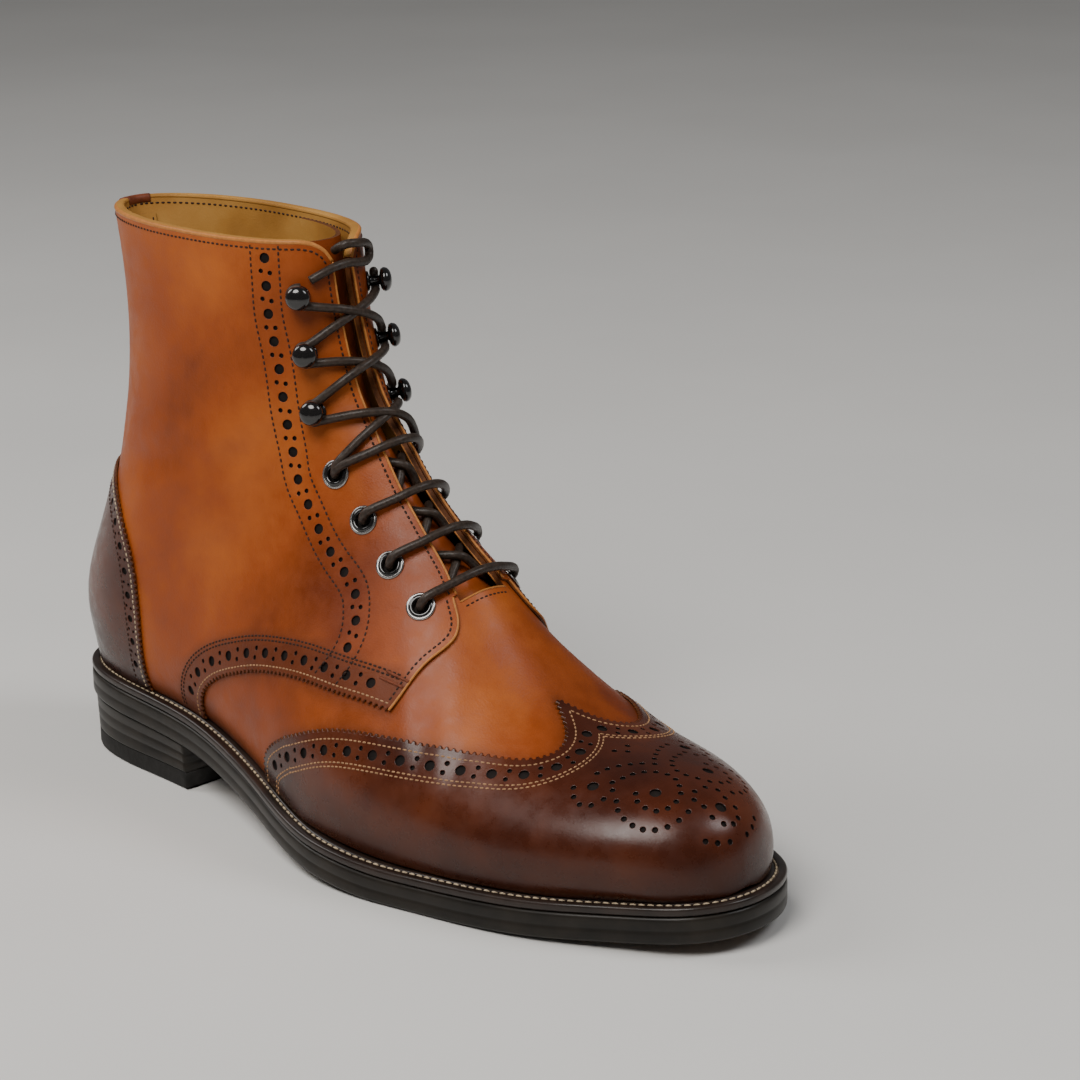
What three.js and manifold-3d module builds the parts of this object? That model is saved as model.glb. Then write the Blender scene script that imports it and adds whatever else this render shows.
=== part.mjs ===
// A right brogue boot: wing cap, quarters, counter, tongue, laces over hooks, welt, sole and heel.
// Millimetres. In the boot's own frame x runs from the heel to the toe, -y is the lateral side and z is up.
import * as THREE from 'three';
import { mergeVertices } from 'three/addons/utils/BufferGeometryUtils.js';
import Module from 'manifold-3d';

const wasm = await Module();
wasm.setup();

// Driving sizes
const SOLE_LENGTH = 312;
const SOLE_WIDTH = 114;
const HEEL_SEAT = 31.2; // welt's top over the floor at the heel
const BALL_STACK = 12; // welt's top over the floor at the ball
const TOE_SPRING = 5.6; // rise of the welt's top from the ball to the toe
const UPPER_HEIGHT = 167; // heel seat to collar

const WELT_THICKNESS = 3;
const WELT_SHELF = 5.5; // welt that shows outside the upper
const WELT_UNDERLAP = 5.5; // welt that the upper stands on
const WELT_ROUND = 0.8;
const SOLE_GROOVE = 1.2; // depth of the groove under the welt
const SOLE_EDGE_ROUND = 1;
const BREAST_AT = 75; // heel's front face from the back of the sole
const TOP_LIFT = 6;
const HEEL_TAPER = 1.6;
const INSOLE_THICKNESS = 2.5;
const INSOLE_CLEAR = 1.9;

const GAP = 0.3; // between neighbours
const SEAT_GAP = 0.55; // between the welt and what stands on it
const UPPER_WALL = 2;
const OVERLAY = 1; // thickness of cap, quarters and counter
const THROAT_WIDTH = 14; // between the facings at the lowest eyelets
const TONGUE_THICKNESS = 1.6;
const TONGUE_WIDTH = 50;

const LACE_RADIUS = 1.5;
const EYELET_BORE = 2.5;
const EYELET_BARREL = 3.1;
const EYELET_FLANGE = 4.8;
const EYELET_RIM = 0.8;
const HOOK_BASE = 3.3;
const HOOK_SHANK = 1.4;
const HOOK_BALL = 4.1;
const HOOK_BASE_THICKNESS = 0.4;

const SOLE_STATIONS = 36;
const HEEL_STATIONS = 16;
const LACE_SIDES = 6;
const CORD_SIDES = 8;
const EYELET_SIDES = 10;
const HOOK_SIDES = 8;
const FEATHER_STEPS = 240;

// Half widths of the welt's edge, as shares of the sole's width, along the sole's length
const OUTLINE = [
  { at: 0.000, lateral: 0.000, medial: 0.000 },
  { at: 0.040, lateral: 0.205, medial: 0.195 },
  { at: 0.120, lateral: 0.275, medial: 0.297 },
  { at: 0.250, lateral: 0.305, medial: 0.300 },
  { at: 0.400, lateral: 0.407, medial: 0.264 },
  { at: 0.550, lateral: 0.520, medial: 0.368 },
  { at: 0.680, lateral: 0.483, medial: 0.480 },
  { at: 0.800, lateral: 0.413, medial: 0.456 },
  { at: 0.900, lateral: 0.292, medial: 0.342 },
  { at: 0.965, lateral: 0.197, medial: 0.228 },
  { at: 1.000, lateral: 0.000, medial: 0.000 },
];

// Height of the welt's top over the ball, as shares of the heel's rise and of the toe spring
const WELT_RISE = [
  { at: 0.00, heel: 1.05, spring: 0.00 },
  { at: 0.10, heel: 1.00, spring: 0.00 },
  { at: 0.24, heel: 0.87, spring: 0.00 },
  { at: 0.40, heel: 0.52, spring: 0.00 },
  { at: 0.55, heel: 0.13, spring: 0.00 },
  { at: 0.66, heel: 0.00, spring: 0.00 },
  { at: 0.80, heel: 0.00, spring: 0.18 },
  { at: 0.90, heel: 0.00, spring: 0.50 },
  { at: 1.00, heel: 0.00, spring: 1.00 },
];

// Sections of the last, fanned from the toe (row 0) over the heel seat's back (HEEL_ROW) to the collar.
// front and back are shares of the sole's length, the rises shares of the upper's height over the seat;
// widest is where a section is widest, as a share of the line from its back to its front.
const HEEL_ROW = 12;
const SECTION_LINES = [
  { front: 0.981, frontRise: 0.000, back: 0.981, backRise: 0.000, widest: 0.00 },
  { front: 0.973, frontRise: 0.101, back: 0.936, backRise: 0.000, widest: 0.10 },
  { front: 0.946, frontRise: 0.160, back: 0.891, backRise: 0.000, widest: 0.18 },
  { front: 0.900, frontRise: 0.195, back: 0.843, backRise: 0.000, widest: 0.22 },
  { front: 0.841, frontRise: 0.214, back: 0.788, backRise: 0.000, widest: 0.25 },
  { front: 0.778, frontRise: 0.236, back: 0.724, backRise: 0.000, widest: 0.27 },
  { front: 0.723, frontRise: 0.284, back: 0.651, backRise: 0.000, widest: 0.28 },
  { front: 0.671, frontRise: 0.357, back: 0.564, backRise: 0.000, widest: 0.27 },
  { front: 0.622, frontRise: 0.429, back: 0.455, backRise: 0.000, widest: 0.27 },
  { front: 0.575, frontRise: 0.476, back: 0.340, backRise: 0.000, widest: 0.28 },
  { front: 0.533, frontRise: 0.526, back: 0.212, backRise: 0.000, widest: 0.28 },
  { front: 0.501, frontRise: 0.590, back: 0.090, backRise: 0.000, widest: 0.30 },
  { front: 0.480, frontRise: 0.634, back: 0.019, backRise: 0.000, widest: 0.32 },
  { front: 0.458, frontRise: 0.690, back: 0.006, backRise: 0.125, widest: 0.36 },
  { front: 0.443, frontRise: 0.746, back: 0.034, backRise: 0.292, widest: 0.42 },
  { front: 0.432, frontRise: 0.805, back: 0.063, backRise: 0.460, widest: 0.46 },
  { front: 0.422, frontRise: 0.875, back: 0.081, backRise: 0.651, widest: 0.48 },
  { front: 0.415, frontRise: 0.942, back: 0.079, backRise: 0.843, widest: 0.50 },
  { front: 0.411, frontRise: 1.000, back: 0.066, backRise: 1.000, widest: 0.50 },
];
// The same sections' half widths, as shares of the sole's width, and the exponents of their rounding
const SECTION_WIDTHS = [
  { lateral: 0.000, medial: 0.000, lateralRound: 1.40, medialRound: 1.40 },
  { lateral: 0.197, medial: 0.226, lateralRound: 1.70, medialRound: 1.67 },
  { lateral: 0.263, medial: 0.302, lateralRound: 1.90, medialRound: 1.88 },
  { lateral: 0.325, medial: 0.361, lateralRound: 1.98, medialRound: 2.02 },
  { lateral: 0.377, medial: 0.416, lateralRound: 1.97, medialRound: 2.08 },
  { lateral: 0.417, medial: 0.440, lateralRound: 1.94, medialRound: 2.13 },
  { lateral: 0.447, medial: 0.441, lateralRound: 1.80, medialRound: 2.16 },
  { lateral: 0.469, medial: 0.380, lateralRound: 1.67, medialRound: 2.16 },
  { lateral: 0.439, medial: 0.322, lateralRound: 1.64, medialRound: 2.16 },
  { lateral: 0.368, medial: 0.286, lateralRound: 1.71, medialRound: 2.10 },
  { lateral: 0.310, medial: 0.274, lateralRound: 1.88, medialRound: 2.02 },
  { lateral: 0.287, medial: 0.278, lateralRound: 1.98, medialRound: 1.98 },
  { lateral: 0.288, medial: 0.286, lateralRound: 1.98, medialRound: 1.97 },
  { lateral: 0.289, medial: 0.289, lateralRound: 1.98, medialRound: 1.98 },
  { lateral: 0.270, medial: 0.270, lateralRound: 2.06, medialRound: 2.06 },
  { lateral: 0.247, medial: 0.247, lateralRound: 2.16, medialRound: 2.16 },
  { lateral: 0.230, medial: 0.230, lateralRound: 2.27, medialRound: 2.27 },
  { lateral: 0.223, medial: 0.223, lateralRound: 2.38, medialRound: 2.38 },
  { lateral: 0.224, medial: 0.224, lateralRound: 2.39, medialRound: 2.39 },
];
const COLLAR_ROW = SECTION_LINES.length - 1;

// Edges on the upper: round is 0 on its front line and 1 at the welt or the back seam; row is a section
const WING_EDGE = [
  { round: 0.00, row: 6.00 },
  { round: 0.035, row: 5.68 },
  { round: 0.11, row: 5.20 },
  { round: 0.20, row: 5.02 },
  { round: 0.30, row: 5.17 },
  { round: 0.39, row: 5.66 },
  { round: 0.55, row: 6.80 },
  { round: 0.68, row: 7.88 },
  { round: 0.80, row: 8.32 },
  { round: 0.90, row: 8.41 },
  { round: 1.00, row: 8.28 },
];
const QUARTER_EDGE = [
  { round: 0.00, row: 8.20 },
  { round: 0.15, row: 8.10 },
  { round: 0.18, row: 7.78 },
  { round: 0.22, row: 7.60 },
  { round: 0.34, row: 7.53 },
  { round: 0.50, row: 7.38 },
  { round: 0.532, row: 7.36 },
  { round: 0.556, row: 8.10 },
  { round: 0.58, row: 8.60 },
  { round: 0.62, row: 9.05 },
  { round: 0.66, row: 9.34 },
  { round: 0.72, row: 9.57 },
  { round: 0.80, row: 9.70 },
  { round: 0.88, row: 9.68 },
  { round: 1.00, row: 9.52 },
];
// Side view of the counter's edge: along is a share of the sole's length, rise of the upper's height
const COUNTER_EDGE = [
  { along: 0.171, rise: -0.050 },
  { along: 0.173, rise: 0.040 },
  { along: 0.177, rise: 0.150 },
  { along: 0.177, rise: 0.220 },
  { along: 0.174, rise: 0.280 },
  { along: 0.166, rise: 0.331 },
  { along: 0.151, rise: 0.376 },
  { along: 0.127, rise: 0.415 },
  { along: 0.104, rise: 0.440 },
  { along: 0.060, rise: 0.461 },
  { along: -0.050, rise: 0.470 },
];
const COLLAR_EDGE = [
  { round: 0.00, row: 16.95 },
  { round: 0.03, row: 17.20 },
  { round: 0.06, row: 17.65 },
  { round: 0.11, row: 17.93 },
  { round: 0.16, row: 18.00 },
  { round: 1.00, row: 18.00 },
];
// Distance between the facings, as shares of the throat's width
const THROAT = [
  { row: 0.00, open: 1.00 },
  { row: 8.25, open: 1.00 },
  { row: 9.50, open: 0.92 },
  { row: 11.30, open: 0.78 },
  { row: 13.00, open: 0.60 },
  { row: 18.00, open: 0.54 },
];
const THROAT_ROW = 7.6;
const TONGUE_ROWS = { base: 7.1, free: 8.0, top: 17.9 };

// Lace levels from the lowest eyelets to the top hooks; apart is the distance between the pair's centres
const LEVELS = [
  { row: 8.25, apart: 39.2, kind: 'eyelet' },
  { row: 9.15, apart: 36.4, kind: 'eyelet' },
  { row: 10.10, apart: 33.2, kind: 'eyelet' },
  { row: 11.28, apart: 32.4, kind: 'eyelet' },
  { row: 13.23, apart: 30.0, kind: 'hook' },
  { row: 14.93, apart: 29.0, kind: 'hook' },
  { row: 16.40, apart: 28.4, kind: 'hook' },
];
const TOP_EYELET = LEVELS.filter(({ kind }) => kind === 'eyelet').length - 1;

// Grid of the upper's form
const FORM_ROWS = [0, 0.15, 0.5, 1, 1.7, 2.5, 3.4, 4.3, 5.2, 6, 6.8, THROAT_ROW, 8.3, 9.1, 9.9, 10.6, 11.1, 11.5,
  11.78, 11.94, HEEL_ROW, 12.7, 13.5, 14.3, 15.1, 15.9, 16.7, 17.4, COLLAR_ROW];
const FORM_COLUMNS = 10;
const SHAFT_ROW = 15;
const CUTTER_REACH = 3.2;
const PAST_WELT = 1.04;
const PAST_THROAT = 0.08;
const PAST_COLLAR = 0.6;
const SEAT_BACK = 20;
const DRILL_PAST = 3;

// Offsets from the last's surface, out of it
const OVERLAY_LOW = -0.1;
const OVERLAY_TOP = OVERLAY_LOW + OVERLAY;
const COUNTER_LOW = OVERLAY_TOP + GAP;
const UPPER_TOP = OVERLAY_LOW - GAP;
const UPPER_LOW = UPPER_TOP - UPPER_WALL;
const LACE_CLEAR = 0.25;
const LACE_INSIDE = UPPER_LOW - 0.1 - LACE_CLEAR - LACE_RADIUS;
const TONGUE_TOP = LACE_INSIDE - LACE_RADIUS - LACE_CLEAR;
const TONGUE_SEWN = UPPER_LOW - 0.8;
const HOOK_FOOT = OVERLAY_TOP + 0.4;
const RIM_TOP = HOOK_FOOT + EYELET_RIM;
const LACE_ON_RIM = RIM_TOP + LACE_CLEAR + LACE_RADIUS;
const LACE_OUTSIDE = OVERLAY_TOP + LACE_CLEAR + LACE_RADIUS + 0.5;
const LACE_ON_HOOK = HOOK_FOOT + HOOK_BASE_THICKNESS + LACE_CLEAR + LACE_RADIUS;
const HOOK_NECK = LACE_ON_HOOK + LACE_RADIUS + LACE_CLEAR;

const column = (table, name) => table.map((row) => row[name]);

function span(xs, x) {
  let i = 0;
  while (i < xs.length - 2 && x > xs[i + 1]) i += 1;
  return i;
}

// A natural cubic curve through the points
function smooth(xs, ys) {
  const n = xs.length;
  const bend = new Array(n).fill(0);
  const ratio = new Array(n).fill(0);
  for (let i = 1; i < n - 1; i += 1) {
    const before = xs[i] - xs[i - 1];
    const after = xs[i + 1] - xs[i];
    const turn = 6 * ((ys[i + 1] - ys[i]) / after - (ys[i] - ys[i - 1]) / before);
    const pivot = 2 * (before + after) - before * ratio[i - 1];
    ratio[i] = after / pivot;
    bend[i] = (turn - before * bend[i - 1]) / pivot;
  }
  for (let i = n - 2; i > 0; i -= 1) bend[i] -= ratio[i] * bend[i + 1];
  return (value) => {
    const x = Math.min(Math.max(value, xs[0]), xs[n - 1]);
    const i = span(xs, x);
    const h = xs[i + 1] - xs[i];
    const a = (xs[i + 1] - x) / h;
    const b = (x - xs[i]) / h;
    return a * ys[i] + b * ys[i + 1] + ((a ** 3 - a) * bend[i] + (b ** 3 - b) * bend[i + 1]) * h * h / 6;
  };
}

// A cubic curve through the points that never overshoots them
function gentle(xs, ys) {
  const n = xs.length;
  const rise = xs.slice(1).map((x, i) => (ys[i + 1] - ys[i]) / (x - xs[i]));
  const slope = xs.map((_, i) => {
    if (i === 0) return rise[0];
    if (i === n - 1) return rise[n - 2];
    const product = rise[i - 1] * rise[i];
    return product <= 0 ? 0 : 2 * product / (rise[i - 1] + rise[i]);
  });
  return (value) => {
    const x = Math.min(Math.max(value, xs[0]), xs[n - 1]);
    const i = span(xs, x);
    const h = xs[i + 1] - xs[i];
    const t = (x - xs[i]) / h;
    return (2 * t ** 3 - 3 * t * t + 1) * ys[i] + (t ** 3 - 2 * t * t + t) * h * slope[i]
      + (3 * t * t - 2 * t ** 3) * ys[i + 1] + (t ** 3 - t * t) * h * slope[i + 1];
  };
}

// Sole: outline and heights
const outlineAngles = column(OUTLINE, 'at').map((at) => Math.acos(1 - 2 * at));
const halfWidth = {
  '-1': smooth(outlineAngles, column(OUTLINE, 'lateral')),
  1: smooth(outlineAngles, column(OUTLINE, 'medial')),
};
const heelShare = gentle(column(WELT_RISE, 'at'), column(WELT_RISE, 'heel'));
const springShare = gentle(column(WELT_RISE, 'at'), column(WELT_RISE, 'spring'));

function weltTop(x) {
  const at = x / SOLE_LENGTH;
  return BALL_STACK + (HEEL_SEAT - BALL_STACK) * heelShare(at) + TOE_SPRING * springShare(at);
}
const weltBottom = (x) => weltTop(x) - WELT_THICKNESS;
const soleTop = (x) => weltBottom(x) - GAP;
const soleBottom = (x) => Math.max(0, weltTop(x) - BALL_STACK - GAP);

// Point of the welt's edge at an angle from the heel (0) to the toe (PI), moved inwards by inset
function rimPoint(angle, side, inset) {
  const step = 0.004;
  const edge = (u) => [(1 - Math.cos(u)) / 2 * SOLE_LENGTH, halfWidth[side](u) * SOLE_WIDTH];
  const [x, y] = edge(angle);
  const tip = angle < step || angle > Math.PI - step;
  const [x0, y0] = edge(Math.max(0, angle - step));
  const [x1, y1] = edge(Math.min(Math.PI, angle + step));
  const dx = tip ? 0 : x1 - x0;
  const dy = tip ? (angle < 1 ? 1 : -1) : y1 - y0;
  const length = Math.hypot(dx, dy);
  return [x + inset * dy / length, side * Math.max(0, y - inset * dx / length)];
}

// Half width of the upper's lower edge at x
const featherLine = {};
for (const side of [-1, 1]) {
  featherLine[side] = Array.from({ length: FEATHER_STEPS + 1 }, (_, i) => (
    rimPoint(Math.PI * i / FEATHER_STEPS, side, WELT_SHELF)));
}
function feather(x, side) {
  const line = featherLine[side];
  if (x <= line[0][0] || x >= line[line.length - 1][0]) return 0;
  const i = span(column(line, 0), x);
  const share = (x - line[i][0]) / (line[i + 1][0] - line[i][0]);
  return Math.abs(line[i][1] + share * (line[i + 1][1] - line[i][1]));
}

// Upper: sections worked out between the rows of the table
const rows = SECTION_LINES.map((_, i) => i);
const lowRows = rows.slice(0, HEEL_ROW + 1);
const highRows = rows.slice(HEEL_ROW);
const form = {
  front: smooth(rows, column(SECTION_LINES, 'front')),
  frontRise: smooth(rows, column(SECTION_LINES, 'frontRise')),
  lowBack: smooth(lowRows, column(SECTION_LINES, 'back').slice(0, HEEL_ROW + 1)),
  highBack: smooth(highRows, column(SECTION_LINES, 'back').slice(HEEL_ROW)),
  backRise: smooth(highRows, column(SECTION_LINES, 'backRise').slice(HEEL_ROW)),
  widest: gentle(rows, column(SECTION_LINES, 'widest')),
  '-1': {
    wide: smooth(rows.map(Math.sqrt), column(SECTION_WIDTHS, 'lateral')),
    round: gentle(rows, column(SECTION_WIDTHS, 'lateralRound')),
  },
  1: {
    wide: smooth(rows.map(Math.sqrt), column(SECTION_WIDTHS, 'medial')),
    round: gentle(rows, column(SECTION_WIDTHS, 'medialRound')),
  },
};

function section(row, side) {
  const low = row <= HEEL_ROW;
  const backX = (low ? form.lowBack(row) : form.highBack(row)) * SOLE_LENGTH;
  const seat = (low ? weltTop(backX) : HEEL_SEAT) + SEAT_GAP;
  const wide = form[side].wide(Math.sqrt(row)) * SOLE_WIDTH;
  const foot = row >= HEEL_ROW ? 0 : Math.min(feather(backX, side), wide * 0.985);
  const share = wide > 0 ? foot / wide : 0;
  const widest = form.widest(row);
  return {
    backX,
    backZ: low ? seat : seat + form.backRise(row) * UPPER_HEIGHT,
    frontX: form.front(row) * SOLE_LENGTH,
    frontZ: seat + form.frontRise(row) * UPPER_HEIGHT,
    wide,
    widest,
    round: form[side].round(row),
    deep: share > 0 ? widest / Math.sqrt(Math.max(1e-9, 1 - share * share)) - widest : 0,
    end: Math.PI / 2 + (share > 0 ? Math.acos(share) : Math.PI / 2),
  };
}

function skin(row, round, side) {
  const cut = section(row, side);
  const angle = round * cut.end;
  const cosine = Math.cos(angle);
  const sine = Math.sin(angle);
  const over = angle <= Math.PI / 2;
  const power = 2 / cut.round;
  const height = over ? cut.widest + (1 - cut.widest) * Math.max(0, cosine) ** power
    : cut.widest + (cut.widest + cut.deep) * cosine;
  const y = cut.wide * (over ? sine ** power : sine);
  return new THREE.Vector3(
    cut.backX + height * (cut.frontX - cut.backX),
    side * y,
    cut.backZ + height * (cut.frontZ - cut.backZ),
  );
}

// Outward normal
function skinNormal(row, round, side) {
  const step = 0.02;
  const at = Math.min(Math.max(row, 0.1), COLLAR_ROW - step);
  const turn = Math.min(Math.max(round, 0.01), 0.99);
  const up = skin(at + step, turn, side).sub(skin(at - step, turn, side));
  const around = skin(at, turn + 0.01, side).sub(skin(at, turn - 0.01, side));
  return new THREE.Vector3().crossVectors(up, around).multiplyScalar(-side).normalize();
}

function roundAtWidth(row, side, y) {
  const cut = section(row, side);
  return Math.asin(Math.min(1, Math.abs(y) / cut.wide) ** (cut.round / 2)) / cut.end;
}

// Point at a height over the surface, from its row and its distance y from the middle
function over(row, y, lift) {
  const side = y < 0 ? -1 : 1;
  const round = roundAtWidth(row, side, y);
  return skin(row, round, side).addScaledVector(skinNormal(row, round, side), lift);
}

// Shells: an open sheet of points, thickened into a closed solid
class Sheet {
  constructor() {
    this.points = [];
    this.level = [];
    this.faces = [];
    this.seen = new Map();
  }

  onSkin(row, round, side) {
    const point = skin(row, round, side);
    const key = point.toArray().map((v) => Math.round(v * 1000)).join(' ');
    if (!this.seen.has(key)) {
      this.seen.set(key, this.points.length);
      this.points.push(point);
      this.level.push(round > 0.995 && row <= HEEL_ROW);
    }
    return this.seen.get(key);
  }

  face(a, b, c) {
    if (a !== b && b !== c && c !== a) this.faces.push([a, b, c]);
  }

  // Two triangles, split along the shorter diagonal
  quad(a, b, c, d, side) {
    const apart = (i, j) => this.points[i].distanceTo(this.points[j]);
    const [p, q, r, s] = apart(a, c) < apart(b, d) ? [a, b, c, d] : [b, c, d, a];
    if (side > 0) {
      this.face(p, q, r);
      this.face(p, r, s);
    } else {
      this.face(r, q, p);
      this.face(s, r, p);
    }
  }

  // A grid of vertex numbers, rows going up and columns going round from the front
  grid(lines, side, keep = () => true) {
    for (let i = 0; i + 1 < lines.length; i += 1) {
      for (let j = 0; j + 1 < lines[i].length; j += 1) {
        if (keep(i, j)) this.quad(lines[i][j], lines[i][j + 1], lines[i + 1][j + 1], lines[i + 1][j], side);
      }
    }
  }
}

// Normals of a sheet's points; they stay in the middle plane there and are level along the welt
function sheetNormals({ points, level, faces }) {
  const normals = points.map(() => new THREE.Vector3());
  for (const corners of faces) {
    const [a, b, c] = corners.map((i) => points[i]);
    const tilt = new THREE.Vector3().crossVectors(b.clone().sub(a), c.clone().sub(a));
    for (const i of corners) normals[i].add(tilt);
  }
  points.forEach((point, i) => {
    if (Math.abs(point.y) < 1e-3) normals[i].y = 0;
    if (level[i]) normals[i].z = 0;
    normals[i].normalize();
  });
  return normals;
}

function thicken(sheet, low, high) {
  const lowAt = typeof low === 'function' ? low : () => low;
  const highAt = typeof high === 'function' ? high : () => high;
  const count = sheet.points.length;
  const normals = sheetNormals(sheet);
  const position = new Float32Array(count * 6);
  sheet.points.forEach((point, i) => {
    point.clone().addScaledVector(normals[i], highAt(i)).toArray(position, i * 3);
    point.clone().addScaledVector(normals[i], lowAt(i)).toArray(position, (count + i) * 3);
  });
  const index = [];
  const edges = new Map();
  for (const [a, b, c] of sheet.faces) {
    index.push(a, b, c, count + a, count + c, count + b);
    for (const [p, q] of [[a, b], [b, c], [c, a]]) edges.set(`${p} ${q}`, [p, q]);
  }
  for (const [p, q] of edges.values()) {
    if (!edges.has(`${q} ${p}`)) index.push(q, p, count + p, q, count + p, count + q);
  }
  const geometry = new THREE.BufferGeometry();
  geometry.setAttribute('position', new THREE.BufferAttribute(position, 3));
  geometry.setIndex(index);
  return geometry;
}

// Slabs: loops of the sole's outline, stacked, and capped or closed into a ring
function outlineLoop(inset, height, last = Math.PI) {
  const whole = last === Math.PI;
  const stations = whole ? SOLE_STATIONS : HEEL_STATIONS;
  const angles = Array.from({ length: stations + 1 }, (_, i) => last * i / stations);
  const point = (angle, side) => {
    const [x, y] = rimPoint(angle, side, inset);
    return [x, y, height(x)];
  };
  const lateral = angles.slice(1, whole ? -1 : undefined).map((angle) => point(angle, -1));
  const medial = angles.slice(1, whole ? -1 : undefined).map((angle) => point(angle, 1)).reverse();
  return [point(0, -1), ...lateral, ...(whole ? [point(Math.PI, -1)] : []), ...medial];
}

function stack(loops, ring) {
  const size = loops[0].length;
  const position = new Float32Array(loops.flat(2));
  const index = [];
  const bands = ring ? loops.length : loops.length - 1;
  for (let k = 0; k < bands; k += 1) {
    const upper = k * size;
    const lower = ((k + 1) % loops.length) * size;
    for (let i = 0; i < size; i += 1) {
      const next = (i + 1) % size;
      index.push(upper + i, lower + i, upper + next, upper + next, lower + i, lower + next);
    }
  }
  if (!ring) {
    const bottom = (loops.length - 1) * size;
    for (let i = 0; 2 * i + 1 < size; i += 1) {
      const j = (size - i) % size;
      const nextJ = size - i - 1;
      if (i + 1 >= nextJ + 1) break;
      const strip = [[i, i + 1, nextJ], [i, nextJ, j]];
      for (const [a, b, c] of strip) {
        if (a === b || b === c || a === c) continue;
        index.push(a, b, c, bottom + a, bottom + c, bottom + b);
      }
    }
  }
  const geometry = new THREE.BufferGeometry();
  geometry.setAttribute('position', new THREE.BufferAttribute(position, 3));
  geometry.setIndex(index);
  return geometry;
}

// Booleans
function solid(geometry) {
  const bare = geometry.clone();
  bare.deleteAttribute('normal');
  bare.deleteAttribute('uv');
  const merged = mergeVertices(bare, 1e-4);
  return new wasm.Manifold(new wasm.Mesh({
    numProp: 3,
    vertProperties: new Float32Array(merged.attributes.position.array),
    triVerts: new Uint32Array(merged.index.array),
  }));
}

function fromSolid(body) {
  const mesh = body.getMesh();
  const geometry = new THREE.BufferGeometry();
  geometry.setAttribute('position', new THREE.BufferAttribute(new Float32Array(mesh.vertProperties), 3));
  geometry.setIndex(Array.from(mesh.triVerts));
  return geometry;
}

// Materials
const leather = (color, roughness = 0.45) => (
  new THREE.MeshStandardMaterial({ color, roughness, metalness: 0 }));
const TAN = leather(0x9c4f1c);
const BROWN = leather(0x3a1710, 0.3);
const LINING = leather(0xc08038, 0.6);
const EDGE = leather(0x1c1411, 0.4);
const SOLE = leather(0x2a2419, 0.6);
const CORD = leather(0x2e2620, 0.7);
const METAL = new THREE.MeshStandardMaterial({ color: 0x0b0a0a, roughness: 0.15, metalness: 0.8 });

const boot = new THREE.Group();
function add(name, geometry, material) {
  const mesh = new THREE.Mesh(geometry, material);
  mesh.name = name;
  boot.add(mesh);
  return mesh;
}

// Sole and heel
function makeOutsole() {
  const edgeTop = (x) => soleTop(x) - SOLE_EDGE_ROUND;
  const edgeBottom = (x) => soleBottom(x) + SOLE_EDGE_ROUND;
  return stack([
    outlineLoop(SOLE_GROOVE, soleTop),
    outlineLoop(0, edgeTop),
    outlineLoop(0, edgeBottom),
    outlineLoop(SOLE_EDGE_ROUND, soleBottom),
  ], false);
}

function makeWelt() {
  const middle = (x) => weltTop(x) - WELT_THICKNESS / 2;
  const inner = WELT_SHELF + WELT_UNDERLAP;
  return stack([
    outlineLoop(WELT_ROUND, weltTop),
    outlineLoop(0, middle),
    outlineLoop(WELT_ROUND, weltBottom),
    outlineLoop(inner, weltBottom),
    outlineLoop(inner, weltTop),
  ], true);
}

function makeHeelBlock(top, bottom, topInset, bottomInset) {
  const breast = Math.acos(1 - 2 * BREAST_AT / SOLE_LENGTH);
  return stack([
    outlineLoop(topInset, top, breast),
    outlineLoop(bottomInset, bottom, breast),
  ], false);
}

function makeInsole() {
  const seatInset = WELT_SHELF - UPPER_LOW + INSOLE_CLEAR;
  const fillInset = WELT_SHELF + WELT_UNDERLAP + GAP;
  const seat = stack([
    outlineLoop(seatInset, (x) => weltTop(x) + GAP + INSOLE_THICKNESS),
    outlineLoop(seatInset, (x) => weltTop(x) + GAP),
  ], false);
  const fill = stack([
    outlineLoop(fillInset, (x) => weltTop(x) + GAP + INSOLE_THICKNESS / 2),
    outlineLoop(fillInset, (x) => soleTop(x) + GAP),
  ], false);
  return fromSolid(solid(seat).add(solid(fill)));
}

// Upper and its overlays
const throatOpen = gentle(column(THROAT, 'row'), column(THROAT, 'open'));
const facingRound = (row, side) => roundAtWidth(row, side, throatOpen(row) * THROAT_WIDTH / 2);
const collarRow = gentle(column(COLLAR_EDGE, 'round'), column(COLLAR_EDGE, 'row'));
const wingRow = gentle(column(WING_EDGE, 'round'), column(WING_EDGE, 'row'));
const quarterRow = gentle(column(QUARTER_EDGE, 'round'), column(QUARTER_EDGE, 'row'));

// The rows above the shaft's start are pulled down where the collar's front corner is rounded
function trimmed(row, round) {
  if (row <= SHAFT_ROW) return row;
  return SHAFT_ROW + (row - SHAFT_ROW) * (collarRow(round) - SHAFT_ROW) / (COLLAR_ROW - SHAFT_ROW);
}

// The whole of the upper's form: the wall and every overlay are layers of it
function makeForm() {
  const sheet = new Sheet();
  for (const side of [-1, 1]) {
    const lines = FORM_ROWS.map((level) => {
      const first = facingRound(Math.max(level, THROAT_ROW), side);
      const blend = Math.min(1, level / 5);
      const start = first * blend + (1 - blend) / FORM_COLUMNS;
      const line = [sheet.onSkin(trimmed(level, 0), 0, side)];
      for (let j = 0; j < FORM_COLUMNS; j += 1) {
        const round = start + (1 - start) * j / (FORM_COLUMNS - 1);
        line.push(sheet.onSkin(trimmed(level, round), round, side));
      }
      return line;
    });
    const open = FORM_ROWS.indexOf(THROAT_ROW);
    sheet.grid(lines, side, (i, j) => j > 0 || i < open);
  }
  return sheet;
}
const upperForm = makeForm();
const layer = (low, high) => solid(thicken(upperForm, low, high));

// A cutter stands on the surface over a region's grid of rows and rounds, and reaches past its edges
function cutter(grids) {
  const sheet = new Sheet();
  for (const { side, lines } of grids) {
    sheet.grid(lines.map((line) => line.map(([row, round]) => sheet.onSkin(row, round, side))), side);
  }
  return solid(thicken(sheet, -CUTTER_REACH, CUTTER_REACH));
}

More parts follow.
